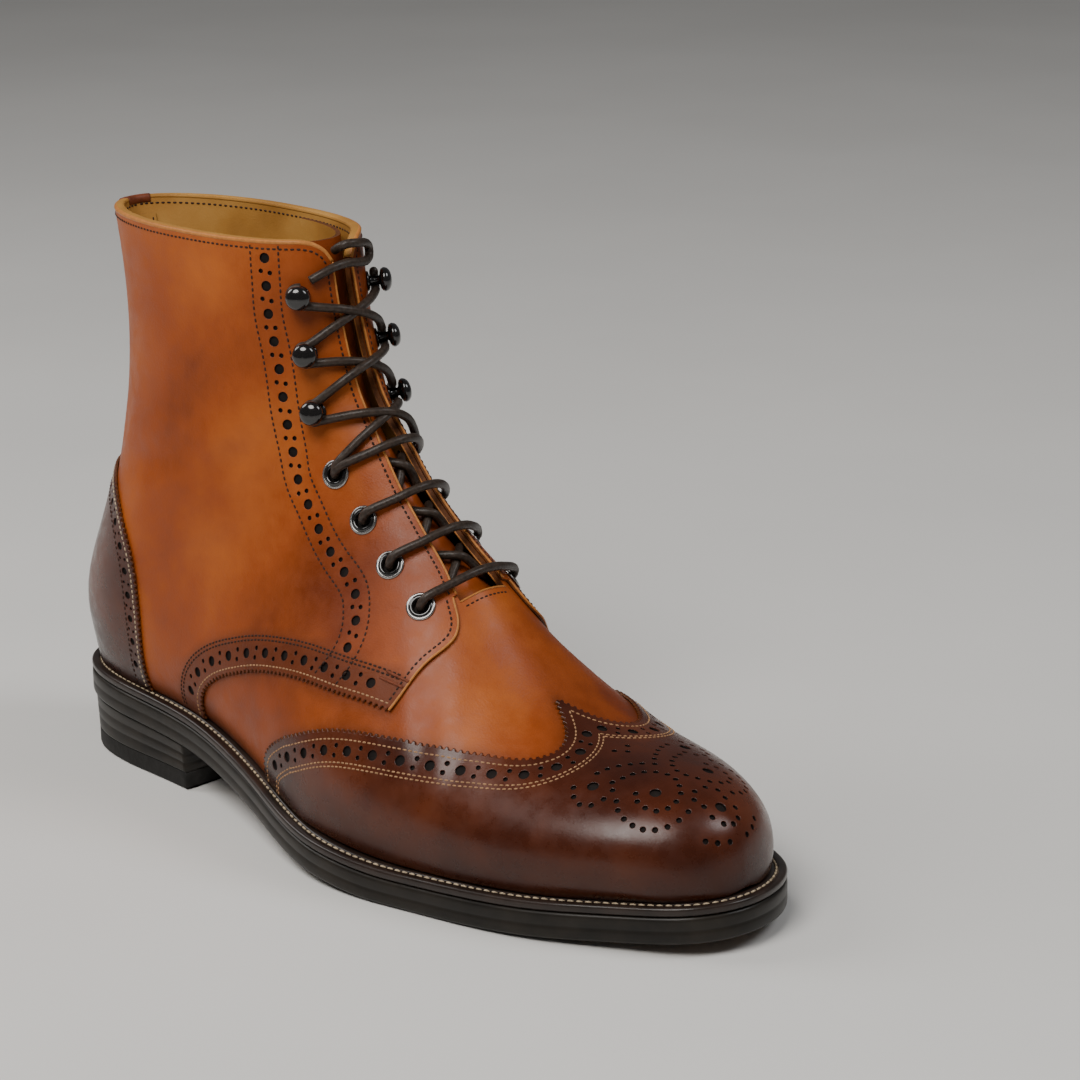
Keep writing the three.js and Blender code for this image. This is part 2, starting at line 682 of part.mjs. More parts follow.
function wingRegion(side) {
  const rounds = [0, 0.035, 0.07, 0.11, 0.155, 0.2, 0.25, 0.3, 0.345, 0.39, 0.47, 0.55, 0.62, 0.68, 0.74,
    0.8, 0.86, 0.93, 1, PAST_WELT];
  const shares = [0, 0.1, 0.22, 0.36, 0.52, 0.68, 0.84, 1];
  return { side, lines: shares.map((share) => rounds.map((round) => [share * wingRow(round), round])) };
}

function quarterRegion(side) {
  const rounds = [PAST_THROAT, 0.15, 0.18, 0.22, 0.28, 0.34, 0.42, 0.5, 0.532, 0.556, 0.6, 0.66, 0.73, 0.8,
    0.87, 0.94, 1, PAST_WELT];
  const shares = Array.from({ length: 15 }, (_, i) => i / 14);
  return {
    side,
    lines: shares.map((share) => rounds.map((low) => {
      const row = quarterRow(low) + share * (COLLAR_ROW + PAST_COLLAR - quarterRow(low));
      const edge = 0.5 * facingRound(row, side);
      return [row, edge + (low - PAST_THROAT) / (1 - PAST_THROAT) * (1 - edge)];
    })),
  };
}

// A block over the counter's side view
function counterBlock() {
  const edge = new THREE.SplineCurve(COUNTER_EDGE.map(({ along, rise }) => (
    new THREE.Vector2(along * SOLE_LENGTH, HEEL_SEAT + rise * UPPER_HEIGHT))));
  const corner = new THREE.Vector2(-SEAT_BACK, 0);
  const shape = new THREE.Shape([...edge.getPoints(2 * COUNTER_EDGE.length), corner]);
  const block = new THREE.ExtrudeGeometry(shape, { depth: SOLE_WIDTH, bevelEnabled: false });
  return solid(block.rotateX(Math.PI / 2).translate(0, SOLE_WIDTH / 2, 0));
}

function makeTongue() {
  const { base, free, top } = TONGUE_ROWS;
  const levels = [base, 7.4, 7.7, free, 8.4, 9, 9.7, 10.4, 11.1, 11.8, 12.5, 13.3, 14.1, 14.9, 15.7, 16.5,
    17.2, top];
  const shares = [0, 0.2, 0.4, 0.6, 0.8, 1];
  const sheet = new Sheet();
  const depths = [];
  for (const side of [-1, 1]) {
    const lines = levels.map((level) => shares.map((share) => {
      const spread = TONGUE_WIDTH / 2 * (0.78 + 0.22 * (level - base) / (top - base));
      const number = sheet.onSkin(level, share ? roundAtWidth(level, side, share * spread) : 0, side);
      const sunk = Math.min(1, Math.max(0, (level - base) / (free - base)));
      depths[number] = TONGUE_SEWN + (TONGUE_TOP - TONGUE_SEWN) * sunk * sunk * (3 - 2 * sunk);
      return number;
    }));
    sheet.grid(lines, side);
  }
  return thicken(sheet, (i) => depths[i] - TONGUE_THICKNESS, (i) => depths[i]);
}

// Eyelets and hooks
function frameAt(row, y, side) {
  const point = over(row, side * y, 0);
  const round = roundAtWidth(row, side, y);
  const out = skinNormal(row, round, side);
  const up = over(row + 0.05, side * y, 0).sub(point);
  up.addScaledVector(out, -up.dot(out)).normalize();
  const away = new THREE.Vector3().crossVectors(out, up);
  if (away.y * side < 0) away.negate();
  return { point, out, up, away };
}

function turned(profile, sides, place) {
  const geometry = new THREE.LatheGeometry(profile.map(([r, z]) => new THREE.Vector2(r, z)), sides);
  const turn = new THREE.Quaternion().setFromUnitVectors(new THREE.Vector3(0, 1, 0), place.out);
  geometry.applyQuaternion(turn);
  geometry.translate(place.point.x, place.point.y, place.point.z);
  return geometry;
}

const places = LEVELS.map((level) => ({
  ...level,
  '-1': frameAt(level.row, level.apart / 2, -1),
  1: frameAt(level.row, level.apart / 2, 1),
}));

function eyeletProfile() {
  const foot = HOOK_FOOT;
  return [
    [EYELET_BORE, UPPER_LOW - 0.1], [EYELET_BARREL, UPPER_LOW - 0.1], [EYELET_BARREL, foot],
    [EYELET_FLANGE, foot], [EYELET_BORE + 0.5, RIM_TOP], [EYELET_BORE, RIM_TOP - 0.3],
    [EYELET_BORE, UPPER_LOW - 0.1],
  ];
}

function hookProfile() {
  const neck = HOOK_NECK;
  return [
    [0, HOOK_FOOT], [HOOK_BASE, HOOK_FOOT], [HOOK_BASE, HOOK_FOOT + HOOK_BASE_THICKNESS],
    [HOOK_SHANK, HOOK_FOOT + HOOK_BASE_THICKNESS], [HOOK_SHANK, neck],
    [HOOK_BALL * 0.9, neck + 0.1], [HOOK_BALL, neck + HOOK_BALL * 0.35],
    [HOOK_BALL * 0.68, neck + HOOK_BALL * 0.8], [0, neck + HOOK_BALL],
  ];
}

function drillProfile() {
  const radius = EYELET_BARREL + GAP;
  const [low, high] = [UPPER_LOW - DRILL_PAST, RIM_TOP + DRILL_PAST];
  return [[0, low], [radius, low], [radius, high], [0, high]];
}

// Lace
function tube(points, radius, sides) {
  const tangents = points.map((point, i) => points[Math.min(i + 1, points.length - 1)].clone()
    .sub(points[Math.max(i - 1, 0)]).normalize());
  const across = new THREE.Vector3(tangents[0].z, tangents[0].x, tangents[0].y);
  const position = [];
  points.forEach((point, i) => {
    across.addScaledVector(tangents[i], -across.dot(tangents[i])).normalize();
    const beside = new THREE.Vector3().crossVectors(tangents[i], across);
    for (let k = 0; k < sides; k += 1) {
      const angle = 2 * Math.PI * k / sides;
      position.push(...point.clone().addScaledVector(across, radius * Math.cos(angle))
        .addScaledVector(beside, radius * Math.sin(angle)).toArray());
    }
  });
  const index = [];
  for (let i = 0; i + 1 < points.length; i += 1) {
    for (let k = 0; k < sides; k += 1) {
      const [a, b] = [i * sides + k, i * sides + (k + 1) % sides];
      index.push(a, b, a + sides, b, b + sides, a + sides);
    }
  }
  const end = (points.length - 1) * sides;
  for (let k = 1; k + 1 < sides; k += 1) index.push(0, k + 1, k, end, end + k, end + k + 1);
  const geometry = new THREE.BufferGeometry();
  geometry.setAttribute('position', new THREE.BufferAttribute(new Float32Array(position), 3));
  geometry.setIndex(index);
  return geometry;
}

const local = (place, away, up, out) => place.point.clone()
  .addScaledVector(place.away, away).addScaledVector(place.up, up).addScaledVector(place.out, out);

// Out of an eyelet's bore and over its rim
const outOfEyelet = (place) => [
  local(place, 0.2, 0, RIM_TOP - 1.9),
  local(place, 0, 0, RIM_TOP - 0.4),
  local(place, -1.4, 0, RIM_TOP + 1.25),
  local(place, -3.4, 0, LACE_ON_RIM),
];

// Points over the surface between two spots given by row and y
const across = (fromRow, fromY, toRow, toY, lift, stops) => stops.map((share) => (
  over(fromRow + share * (toRow - fromRow), fromY + share * (toY - fromY), lift)));

function makeBar(place) {
  const half = place.apart / 2;
  return tube([
    ...outOfEyelet(place[1]),
    ...across(place.row, half, place.row, -half, LACE_OUTSIDE, [0.32, 0.5, 0.68]),
    ...outOfEyelet(place[-1]).reverse(),
  ], LACE_RADIUS, LACE_SIDES);
}

// Round the hook's shank on its outer side, from below it to above it
function roundHook(place) {
  const reach = HOOK_SHANK + LACE_CLEAR + LACE_RADIUS;
  return [-105, -70, -35, 0, 35, 70, 105].map((degrees) => {
    const angle = degrees * Math.PI / 180;
    return local(place, reach * Math.cos(angle), reach * Math.sin(angle), LACE_ON_HOOK);
  });
}

function hookToHook(from, to, side) {
  return across(from.row + 0.25, side * from.apart / 2, to.row - 0.25, -side * to.apart / 2,
    LACE_OUTSIDE, [0.2, 0.35, 0.5, 0.65, 0.8]);
}

// From the top eyelet of one side over three hooks, crossing the throat between them
function makeStrand(side) {
  const start = places[TOP_EYELET][side];
  const points = [local(start, -1.8, 0.2, RIM_TOP + 1.4), local(start, -3, 1.2, LACE_ON_RIM)];
  let from = places[TOP_EYELET];
  let hand = side;
  for (const to of places.slice(TOP_EYELET + 1)) {
    points.push(...hookToHook(from, to, hand));
    hand = -hand;
    points.push(...roundHook(to[hand]));
    from = to;
  }
  return tube(points, LACE_RADIUS, LACE_SIDES);
}

// The end that shows: over the top of the throat, round on the medial facing and back into the boot
const LACE_END = [
  { row: 16.78, y: -11.6, lift: 3.05 },
  { row: 16.92, y: -8.5, lift: 3.10 },
  { row: 17.05, y: -5.0, lift: 3.10 },
  { row: 17.10, y: 0.0, lift: 2.90 },
  { row: 17.05, y: 4.5, lift: 3.10 },
  { row: 17.02, y: 8.0, lift: 3.10 },
  { row: 17.15, y: 11.0, lift: 3.20 },
  { row: 17.42, y: 11.2, lift: 3.30 },
  { row: 17.62, y: 8.6, lift: 3.40 },
  { row: 17.70, y: 4.8, lift: 3.50 },
  { row: 17.74, y: 1.8, lift: 2.90 },
  { row: 17.70, y: 0.2, lift: 1.55 },
  { row: 17.62, y: -0.4, lift: -0.40 },
  { row: 17.52, y: -0.6, lift: -2.40 },
];
function makeLaceEnd() {
  const path = new THREE.CatmullRomCurve3(LACE_END.map(({ row, y, lift }) => over(row, y, lift)));
  const ring = new THREE.Shape(Array.from({ length: CORD_SIDES }, (_, i) => (
    new THREE.Vector2(LACE_RADIUS, 0).rotateAround(new THREE.Vector2(), 2 * Math.PI * i / CORD_SIDES))));
  const steps = Math.round(path.getLength() / (3 * LACE_RADIUS));
  return new THREE.ExtrudeGeometry(ring, { steps, bevelEnabled: false, extrudePath: path });
}

// Assembly
add('outsole', makeOutsole(), SOLE);
add('welt', makeWelt(), EDGE);
const stackTop = (x) => soleBottom(x) - GAP;
add('heel_stack', makeHeelBlock(stackTop, () => TOP_LIFT + GAP, SOLE_EDGE_ROUND, HEEL_TAPER), SOLE);
add('top_lift', makeHeelBlock(() => TOP_LIFT, () => 0, HEEL_TAPER, HEEL_TAPER), SOLE);
add('insole', makeInsole(), LINING);

const drills = places.filter(({ kind }) => kind === 'eyelet')
  .flatMap((place) => [-1, 1].map((side) => solid(turned(drillProfile(), EYELET_SIDES, place[side]))));
const drill = (body) => drills.reduce((rest, hole) => rest.subtract(hole), body);
const overlay = layer(OVERLAY_LOW, OVERLAY_TOP);
const quarters = drill(overlay);
const half = (side) => solid(new THREE.BoxGeometry(2 * SOLE_LENGTH, SOLE_WIDTH, 4 * UPPER_HEIGHT)
  .translate(0, side * (SOLE_WIDTH + GAP) / 2, 0));
const quarter = (side) => quarters.intersect(half(side)).intersect(cutter([quarterRegion(side)]));

add('upper', fromSolid(drill(layer(UPPER_LOW, UPPER_TOP))), TAN);
add('quarter_lateral', fromSolid(quarter(-1)), TAN);
add('quarter_medial', fromSolid(quarter(1)), TAN);
add('wing_cap', fromSolid(overlay.intersect(cutter([wingRegion(-1), wingRegion(1)]))), BROWN);
const counter = layer(COUNTER_LOW, COUNTER_LOW + OVERLAY).intersect(counterBlock());
add('heel_counter', fromSolid(counter), BROWN);
add('tongue', makeTongue(), TAN);

const sideName = { '-1': 'lateral', 1: 'medial' };
const numbers = { eyelet: 0, hook: 0 };
const fittings = {
  eyelet: { profile: eyeletProfile(), sides: EYELET_SIDES },
  hook: { profile: hookProfile(), sides: HOOK_SIDES },
};
for (const place of places) {
  numbers[place.kind] += 1;
  const { profile, sides } = fittings[place.kind];
  for (const side of [-1, 1]) {
    const name = `${place.kind}_${sideName[side]}_${numbers[place.kind]}`;
    add(name, turned(profile, sides, place[side]), METAL);
  }
}
places.slice(0, TOP_EYELET).forEach((place, i) => add(`lace_bar_${i + 1}`, makeBar(place), CORD));
const crossing = [makeStrand(-1), makeStrand(1)].reduce((body, strand) => body.add(solid(strand)),
  solid(makeBar(places[TOP_EYELET])));
add('lace_crossing', fromSolid(crossing), CORD);
add('lace_end', makeLaceEnd(), CORD);

// The origin is under the middle of the boot's box
let widest = { '-1': 0, 1: 0 };
for (const side of [-1, 1]) {
  for (const [, y] of outlineLoop(0, () => 0)) widest[side] = Math.max(widest[side], side * y);
}
boot.position.set(-SOLE_LENGTH / 2, (widest[-1] - widest[1]) / 2, 0);

export default boot;
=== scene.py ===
import math

import bpy
import numpy as np
from mathutils import Matrix, Vector
from mathutils.geometry import delaunay_2d_cdt


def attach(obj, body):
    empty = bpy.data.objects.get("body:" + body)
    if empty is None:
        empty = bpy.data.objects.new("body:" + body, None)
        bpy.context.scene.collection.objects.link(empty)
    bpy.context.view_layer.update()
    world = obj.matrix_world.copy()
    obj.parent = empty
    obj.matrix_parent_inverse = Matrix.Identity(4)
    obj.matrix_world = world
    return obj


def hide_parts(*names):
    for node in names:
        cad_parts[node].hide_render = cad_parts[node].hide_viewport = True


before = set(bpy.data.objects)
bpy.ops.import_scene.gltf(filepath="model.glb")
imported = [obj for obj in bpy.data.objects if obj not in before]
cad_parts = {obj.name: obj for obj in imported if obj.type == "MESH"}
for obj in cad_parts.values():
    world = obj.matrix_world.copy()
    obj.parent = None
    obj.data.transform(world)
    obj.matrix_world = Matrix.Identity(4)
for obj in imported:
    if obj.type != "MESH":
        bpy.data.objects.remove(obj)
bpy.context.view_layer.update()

# The boot's own frame is in millimetres: x from the heel to the toe, -y lateral, z up from the floor.
SOLE_LENGTH, SOLE_WIDTH = 312.0, 114.0
HEEL_SEAT, BALL_STACK, TOE_SPRING = 31.2, 12.0, 5.6
UPPER_HEIGHT, SEAT_GAP, GAP = 167.0, 0.55, 0.3
WELT_THICKNESS, WELT_SHELF = 3.0, 5.5
BREAST_AT, TOP_LIFT, HEEL_LIFTS = 75.0, 6.0, 3
THROAT_WIDTH = 14.0
HEEL_ROW, COLLAR_ROW, THROAT_ROW = 12, 18, 8.0
MM = 0.001

OUTLINE = np.array([  # at, lateral, medial
    (0.000, 0.000, 0.000), (0.040, 0.205, 0.195), (0.120, 0.275, 0.297), (0.250, 0.305, 0.300),
    (0.400, 0.407, 0.264), (0.550, 0.520, 0.368), (0.680, 0.483, 0.480), (0.800, 0.413, 0.456),
    (0.900, 0.292, 0.342), (0.965, 0.197, 0.228), (1.000, 0.000, 0.000)])
WELT_RISE = np.array([  # at, heel share, spring share
    (0.00, 1.05, 0.00), (0.10, 1.00, 0.00), (0.24, 0.87, 0.00), (0.40, 0.52, 0.00), (0.55, 0.13, 0.00),
    (0.66, 0.00, 0.00), (0.80, 0.00, 0.18), (0.90, 0.00, 0.50), (1.00, 0.00, 1.00)])
SECTIONS = np.array([  # front, rise, back, rise, lateral, medial, widest, lateral and medial rounding
    (0.981, 0.000, 0.981, 0.000, 0.000, 0.000, 0.00, 1.40, 1.40),
    (0.973, 0.101, 0.936, 0.000, 0.197, 0.226, 0.10, 1.70, 1.67),
    (0.946, 0.160, 0.891, 0.000, 0.263, 0.302, 0.18, 1.90, 1.88),
    (0.900, 0.195, 0.843, 0.000, 0.325, 0.361, 0.22, 1.98, 2.02),
    (0.841, 0.214, 0.788, 0.000, 0.377, 0.416, 0.25, 1.97, 2.08),
    (0.778, 0.236, 0.724, 0.000, 0.417, 0.440, 0.27, 1.94, 2.13),
    (0.723, 0.284, 0.651, 0.000, 0.447, 0.441, 0.28, 1.80, 2.16),
    (0.671, 0.357, 0.564, 0.000, 0.469, 0.380, 0.27, 1.67, 2.16),
    (0.622, 0.429, 0.455, 0.000, 0.439, 0.322, 0.27, 1.64, 2.16),
    (0.575, 0.476, 0.340, 0.000, 0.368, 0.286, 0.28, 1.71, 2.10),
    (0.533, 0.526, 0.212, 0.000, 0.310, 0.274, 0.28, 1.88, 2.02),
    (0.501, 0.590, 0.090, 0.000, 0.287, 0.278, 0.30, 1.98, 1.98),
    (0.480, 0.634, 0.019, 0.000, 0.288, 0.286, 0.32, 1.98, 1.97),
    (0.458, 0.690, 0.006, 0.125, 0.289, 0.289, 0.36, 1.98, 1.98),
    (0.443, 0.746, 0.034, 0.292, 0.270, 0.270, 0.42, 2.06, 2.06),
    (0.432, 0.805, 0.063, 0.460, 0.247, 0.247, 0.46, 2.16, 2.16),
    (0.422, 0.875, 0.081, 0.651, 0.230, 0.230, 0.48, 2.27, 2.27),
    (0.415, 0.942, 0.079, 0.843, 0.223, 0.223, 0.50, 2.38, 2.38),
    (0.411, 1.000, 0.066, 1.000, 0.224, 0.224, 0.50, 2.39, 2.39)])

# Edges and bands on the upper, as (row, round): round runs from the front line to the welt or back seam
WING_EDGE = [(6.00, 0.0), (5.68, .035), (5.20, .11), (5.02, .20), (5.17, .30), (5.66, .39), (6.80, .55),
             (7.88, .68), (8.32, .80), (8.41, .90), (8.28, 1.0)]
QUARTER_FRONT = [(7.36, .532), (7.38, .50), (7.53, .34), (7.60, .22), (7.78, .18), (7.95, .163), (8.10, .15)]
QUARTER_LOW = [(7.36, .532), (7.72, .545), (8.10, .556), (8.60, .580), (9.05, .620), (9.34, .660),
               (9.57, .720), (9.70, .800), (9.68, .880), (9.52, 1.0)]
BAND_LINE = [(17.98, .300), (16.98, .308), (16.20, .304), (15.55, .287), (14.73, .267), (13.93, .250),
             (13.03, .233), (12.25, .237), (10.98, .342), (10.23, .367), (9.60, .371), (9.18, .379),
             (9.00, .396), (8.80, .425), (8.65, .467), (8.58, .521), (8.56, .562)]
COLLAR_EDGE = [(0.00, 16.95), (0.03, 17.20), (0.06, 17.65), (0.11, 17.93), (0.16, 18.00), (1.00, 18.00)]
THROAT = [(0.00, 1.45), (7.60, 1.45), (8.00, 1.42), (8.70, 1.12), (9.50, 0.95), (11.30, 0.78),
          (13.00, 0.60), (18.00, 0.54)]
COUNTER_EDGE = [(0.173, 0.000), (0.174, 0.040), (0.177, 0.150), (0.177, 0.220), (0.174, 0.280),
                (0.166, 0.331), (0.151, 0.376), (0.127, 0.415), (0.104, 0.440), (0.062, 0.459)]
# Rows of the eyelets and hooks, and how far apart each pair is
LEVELS = [(8.25, 39.2), (9.15, 36.4), (10.10, 33.2), (11.28, 32.4), (13.23, 30.0), (14.93, 29.0),
          (16.40, 28.4)]
EYELETS = 4

# Heights over the last's surface
VAMP_TOP, VAMP_LOW = -0.4, -2.4
SKIN_LOW, SKIN_TOP = -0.1, 0.9
COUNTER_LOW, COUNTER_TOP = 1.2, 2.2

SIDES = {-1: "lateral", 1: "medial"}
LACE_RADIUS = 1.5
FOLD_REACH = 0.8      # rows over which the fold at the heel's row is eased
BIG_HOLE = 1.0        # radius above which a hole gets a finer ring
BIG_HOLE_SIDES, SMALL_HOLE_SIDES = 20, 12
HOLE_EDGE = 0.16      # width and drop of a hole's rounded edge
HOLE_PITCH, BAND_PITCH, HOLE_RADII = 10.6, 9.2, (1.75, 0.8)
PAIR_SHIFT = 0.35     # shift of the small holes of a pair against each other, each way
ROUND_EDGE = 0.35     # width of a panel's rounded edge
PANEL_SPACING = 3.2   # distance between the points of a panel
LATHE_SIDES = 36
TRIM_SHARE = 0.93     # share of its distance that a line beside another has to keep
SHIFT_TRIES = 3       # steps of a move on the surface
ROUND_MM = 140.0      # width of one turn on the plane map
STRIP_SHARE = 0.085   # half width of the strip inside the back seam, in turns
ROW_STEP, V_STEP = 0.004, 0.002
SEAM_SHARE = 0.999    # share of a row's turn that the panels reach
FLOOR_HALF, FLOOR_DROP = 3, 0.0003


def unit(a):
    return a / np.maximum(np.linalg.norm(a, axis=-1, keepdims=True), 1e-12)


def lengths(points):
    """Distance of each point along a path."""
    return np.concatenate([[0], np.cumsum(np.linalg.norm(np.diff(points, axis=0), axis=1))])


def smooth(xs, ys):
    """A natural cubic curve through the points."""
    xs, ys = np.asarray(xs, float), np.asarray(ys, float)
    n, h = len(xs), np.diff(xs)
    m, turn = np.eye(n), np.zeros(n)
    for i in range(1, n - 1):
        m[i, i - 1:i + 2] = h[i - 1], 2 * (h[i - 1] + h[i]), h[i]
        turn[i] = 6 * ((ys[i + 1] - ys[i]) / h[i] - (ys[i] - ys[i - 1]) / h[i - 1])
    bend = np.linalg.solve(m, turn)

    def value(x):
        x = np.clip(np.asarray(x, float), xs[0], xs[-1])
        i = np.clip(np.searchsorted(xs, x) - 1, 0, n - 2)
        a, b = (xs[i + 1] - x) / h[i], (x - xs[i]) / h[i]
        return a * ys[i] + b * ys[i + 1] + ((a**3 - a) * bend[i] + (b**3 - b) * bend[i + 1]) * h[i]**2 / 6
    return value


def gentle(xs, ys):
    """A cubic curve through the points that never overshoots them."""
    xs, ys = np.asarray(xs, float), np.asarray(ys, float)
    h = np.diff(xs)
    d = np.diff(ys) / h
    slope = np.concatenate([d[:1], np.zeros(len(xs) - 2), d[-1:]])
    for i in range(1, len(xs) - 1):
        slope[i] = 0 if d[i - 1] * d[i] <= 0 else 2 * d[i - 1] * d[i] / (d[i - 1] + d[i])

    def value(x):
        x = np.clip(np.asarray(x, float), xs[0], xs[-1])
        i = np.clip(np.searchsorted(xs, x) - 1, 0, len(xs) - 2)
        t = (x - xs[i]) / h[i]
        return ((2 * t**3 - 3 * t**2 + 1) * ys[i] + (t**3 - 2 * t**2 + t) * h[i] * slope[i]
                + (3 * t**2 - 2 * t**3) * ys[i + 1] + (t**3 - t**2) * h[i] * slope[i + 1])
    return value


# Sole's outline and heights
rim_turn = np.arccos(1 - 2 * OUTLINE[:, 0])
half_width = {side: smooth(rim_turn, OUTLINE[:, column] * SOLE_WIDTH) for side, column in ((-1, 1), (1, 2))}
heel_share = gentle(WELT_RISE[:, 0], WELT_RISE[:, 1])
spring_share = gentle(WELT_RISE[:, 0], WELT_RISE[:, 2])


def welt_top(x):
    """Height of the welt's top at x."""
    at = np.asarray(x, float) / SOLE_LENGTH
    return BALL_STACK + (HEEL_SEAT - BALL_STACK) * heel_share(at) + TOE_SPRING * spring_share(at)


def rim(u, side, inset=0.0):
    """Point of the outline at angle u, from the heel (0) to the toe (pi), moved inwards."""
    u = np.asarray(u, float)
    step = 1e-3
    lo, hi = np.clip(u - step, 0, math.pi), np.clip(u + step, 0, math.pi)
    x, y = (1 - np.cos(u)) / 2 * SOLE_LENGTH, half_width[side](u)
    dx = (np.cos(lo) - np.cos(hi)) / 2 * SOLE_LENGTH
    dy = half_width[side](hi) - half_width[side](lo)
    tip = (u < step) | (u > math.pi - step)
    dx, dy = np.where(tip, 0, dx), np.where(tip, np.where(u < 1, 1, -1), dy)
    length = np.hypot(dx, dy)
    return x + inset * dy / length, np.maximum(0, y - inset * dx / length)


stations = np.linspace(0, math.pi, 241)
feather_line = {side: rim(stations, side, WELT_SHELF) for side in (-1, 1)}
widest = {side: half_width[side](np.linspace(0, math.pi, 37)).max() for side in (-1, 1)}
SHIFT = np.array([-SOLE_LENGTH / 2, (widest[-1] - widest[1]) / 2, 0.0])

# The last's sections
rows = np.arange(len(SECTIONS))
low_rows, high_rows = rows[:HEEL_ROW + 1], rows[HEEL_ROW:]
front_x, front_z = smooth(rows, SECTIONS[:, 0]), smooth(rows, SECTIONS[:, 1])
low_back = smooth(low_rows, SECTIONS[:HEEL_ROW + 1, 2])
high_back, back_rise = smooth(high_rows, SECTIONS[HEEL_ROW:, 2]), smooth(high_rows, SECTIONS[HEEL_ROW:, 3])
wide = {-1: smooth(np.sqrt(rows), SECTIONS[:, 4]), 1: smooth(np.sqrt(rows), SECTIONS[:, 5])}
widest_at = gentle(rows, SECTIONS[:, 6])
rounding = {-1: gentle(rows, SECTIONS[:, 7]), 1: gentle(rows, SECTIONS[:, 8])}
seat_jog = float(welt_top(low_back(HEEL_ROW) * SOLE_LENGTH)) - HEEL_SEAT


def section(row, side):
    """A row's back and front points, its half width and the width of its foot."""
    row = np.asarray(row, float)
    low = row <= HEEL_ROW
    bx = np.where(low, low_back(row), high_back(row)) * SOLE_LENGTH
    shaft_seat = HEEL_SEAT + seat_jog * np.clip(HEEL_ROW + 1 - row, 0, 1)**2
    seat = np.where(low, welt_top(bx), shaft_seat) + SEAT_GAP
    bz = seat + np.where(low, 0, back_rise(row)) * UPPER_HEIGHT
    w = wide[side](np.sqrt(np.maximum(row, 0))) * SOLE_WIDTH
    foot = np.interp(bx, *feather_line[side], left=0, right=0)
    foot = np.where(row >= HEEL_ROW, 0, np.minimum(foot, 0.985 * w))
    return bx, bz, front_x(row) * SOLE_LENGTH, seat + front_z(row) * UPPER_HEIGHT, w, foot


def half_skin(row, turn, side):
    """Point of the last at a row, half a turn being from the front line to the back one."""
    bx, bz, tx, tz, w, foot = section(row, side)
    share = foot / np.maximum(w, 1e-6)
    top = widest_at(row)
    deep = np.where(share > 0, top / np.sqrt(np.maximum(1e-9, 1 - share**2)) - top, 0)
    angle = turn * np.pi
    cosine, sine, power = np.cos(angle), np.sin(angle), 2 / rounding[side](row)
    over = angle <= np.pi / 2
    height = np.where(over, top + (1 - top) * np.maximum(cosine, 0)**power, top + (top + deep) * cosine)
    y = w * np.where(over, np.maximum(sine, 0)**power, sine)
    return np.stack([bx + height * (tx - bx), side * y, bz + height * (tz - bz)], -1)


def turn_at_width(row, side, y):
    """Turn at which the surface lies y from the middle, in front."""
    w = section(row, side)[4]
    return np.arcsin(np.minimum(1, np.abs(y) / w)**(rounding[side](row) / 2)) / np.pi


def row_end(row, side):
    """Turn at which a panel ends, just before its row does."""
    return SEAM_SHARE * foot_turn(row, side)


def foot_turn(row, side):
    """Turn at which a row ends: on the welt, or on the back seam."""
    w, foot = section(row, side)[4:]
    share = foot / np.maximum(w, 1e-6)
    return 0.5 + np.where(share > 0, np.arccos(np.clip(share, 0, 1)) / np.pi, 0.5)


throat_open = gentle(*np.array(THROAT).T)
collar_row = gentle(*np.array(COLLAR_EDGE).T)


def base(row, v, back=False):
    """Point of the last at a row and at v: the turn times the side, from the front or from the back."""
    row, v = np.broadcast_arrays(np.asarray(row, float), np.asarray(v, float))
    turn = 1 - np.abs(v) if back else np.abs(v)
    place = np.where((v < 0)[..., None], half_skin(row, turn, -1), half_skin(row, turn, 1))
    # the fold between the foot's rows and the shaft's is eased
    reach = np.clip(1 - np.abs(row - HEEL_ROW) / FOLD_REACH, 0, 1)
    reach = 0.5 * FOLD_REACH * reach**2 * (3 - 2 * reach) * np.clip((0.9 - turn) / 0.15, 0, 1)
    near_fold = reach > 0
    if near_fold.any():
        r, t, w, left = row[near_fold], turn[near_fold], reach[near_fold], (v < 0)[near_fold][:, None]
        eased = 0
        for step, weight in ((-1, 0.14), (-0.5, 0.22), (0, 0.28), (0.5, 0.22), (1, 0.14)):
            beside = r + step * w
            eased = eased + weight * np.where(left, half_skin(beside, t, -1), half_skin(beside, t, 1))
        place[near_fold] = eased
    return place


def slopes(row, v, back, form):
    """Change of the surface with the row, kept on one side of the heel's row, and with v."""
    row, v = np.asarray(row, float), np.asarray(v, float)
    r0 = np.clip(row - ROW_STEP, ROW_STEP, COLLAR_ROW - 2 * ROW_STEP)
    r1 = np.clip(row + ROW_STEP, 3 * ROW_STEP, COLLAR_ROW)
    r0 = np.where(row > HEEL_ROW, np.maximum(r0, HEEL_ROW + 1e-9), r0)
    r1 = np.where(row <= HEEL_ROW, np.minimum(r1, HEEL_ROW), r1)
    v = np.clip(v, V_STEP - 1, 1 - V_STEP)
    v0, v1 = v - V_STEP, v + V_STEP
    dr = (form(r1, v, back) - form(r0, v, back)) / (r1 - r0)[..., None]
    dv = (form(row, v1, back) - form(row, v0, back)) / (v1 - v0)[..., None]
    return dr, dv


def normal(row, v, back=False, form=base):
    dr, dv = slopes(np.maximum(row, 0.05), v, back, form)
    n = np.cross(dr, dv) if back else np.cross(dv, dr)
    return unit(n)


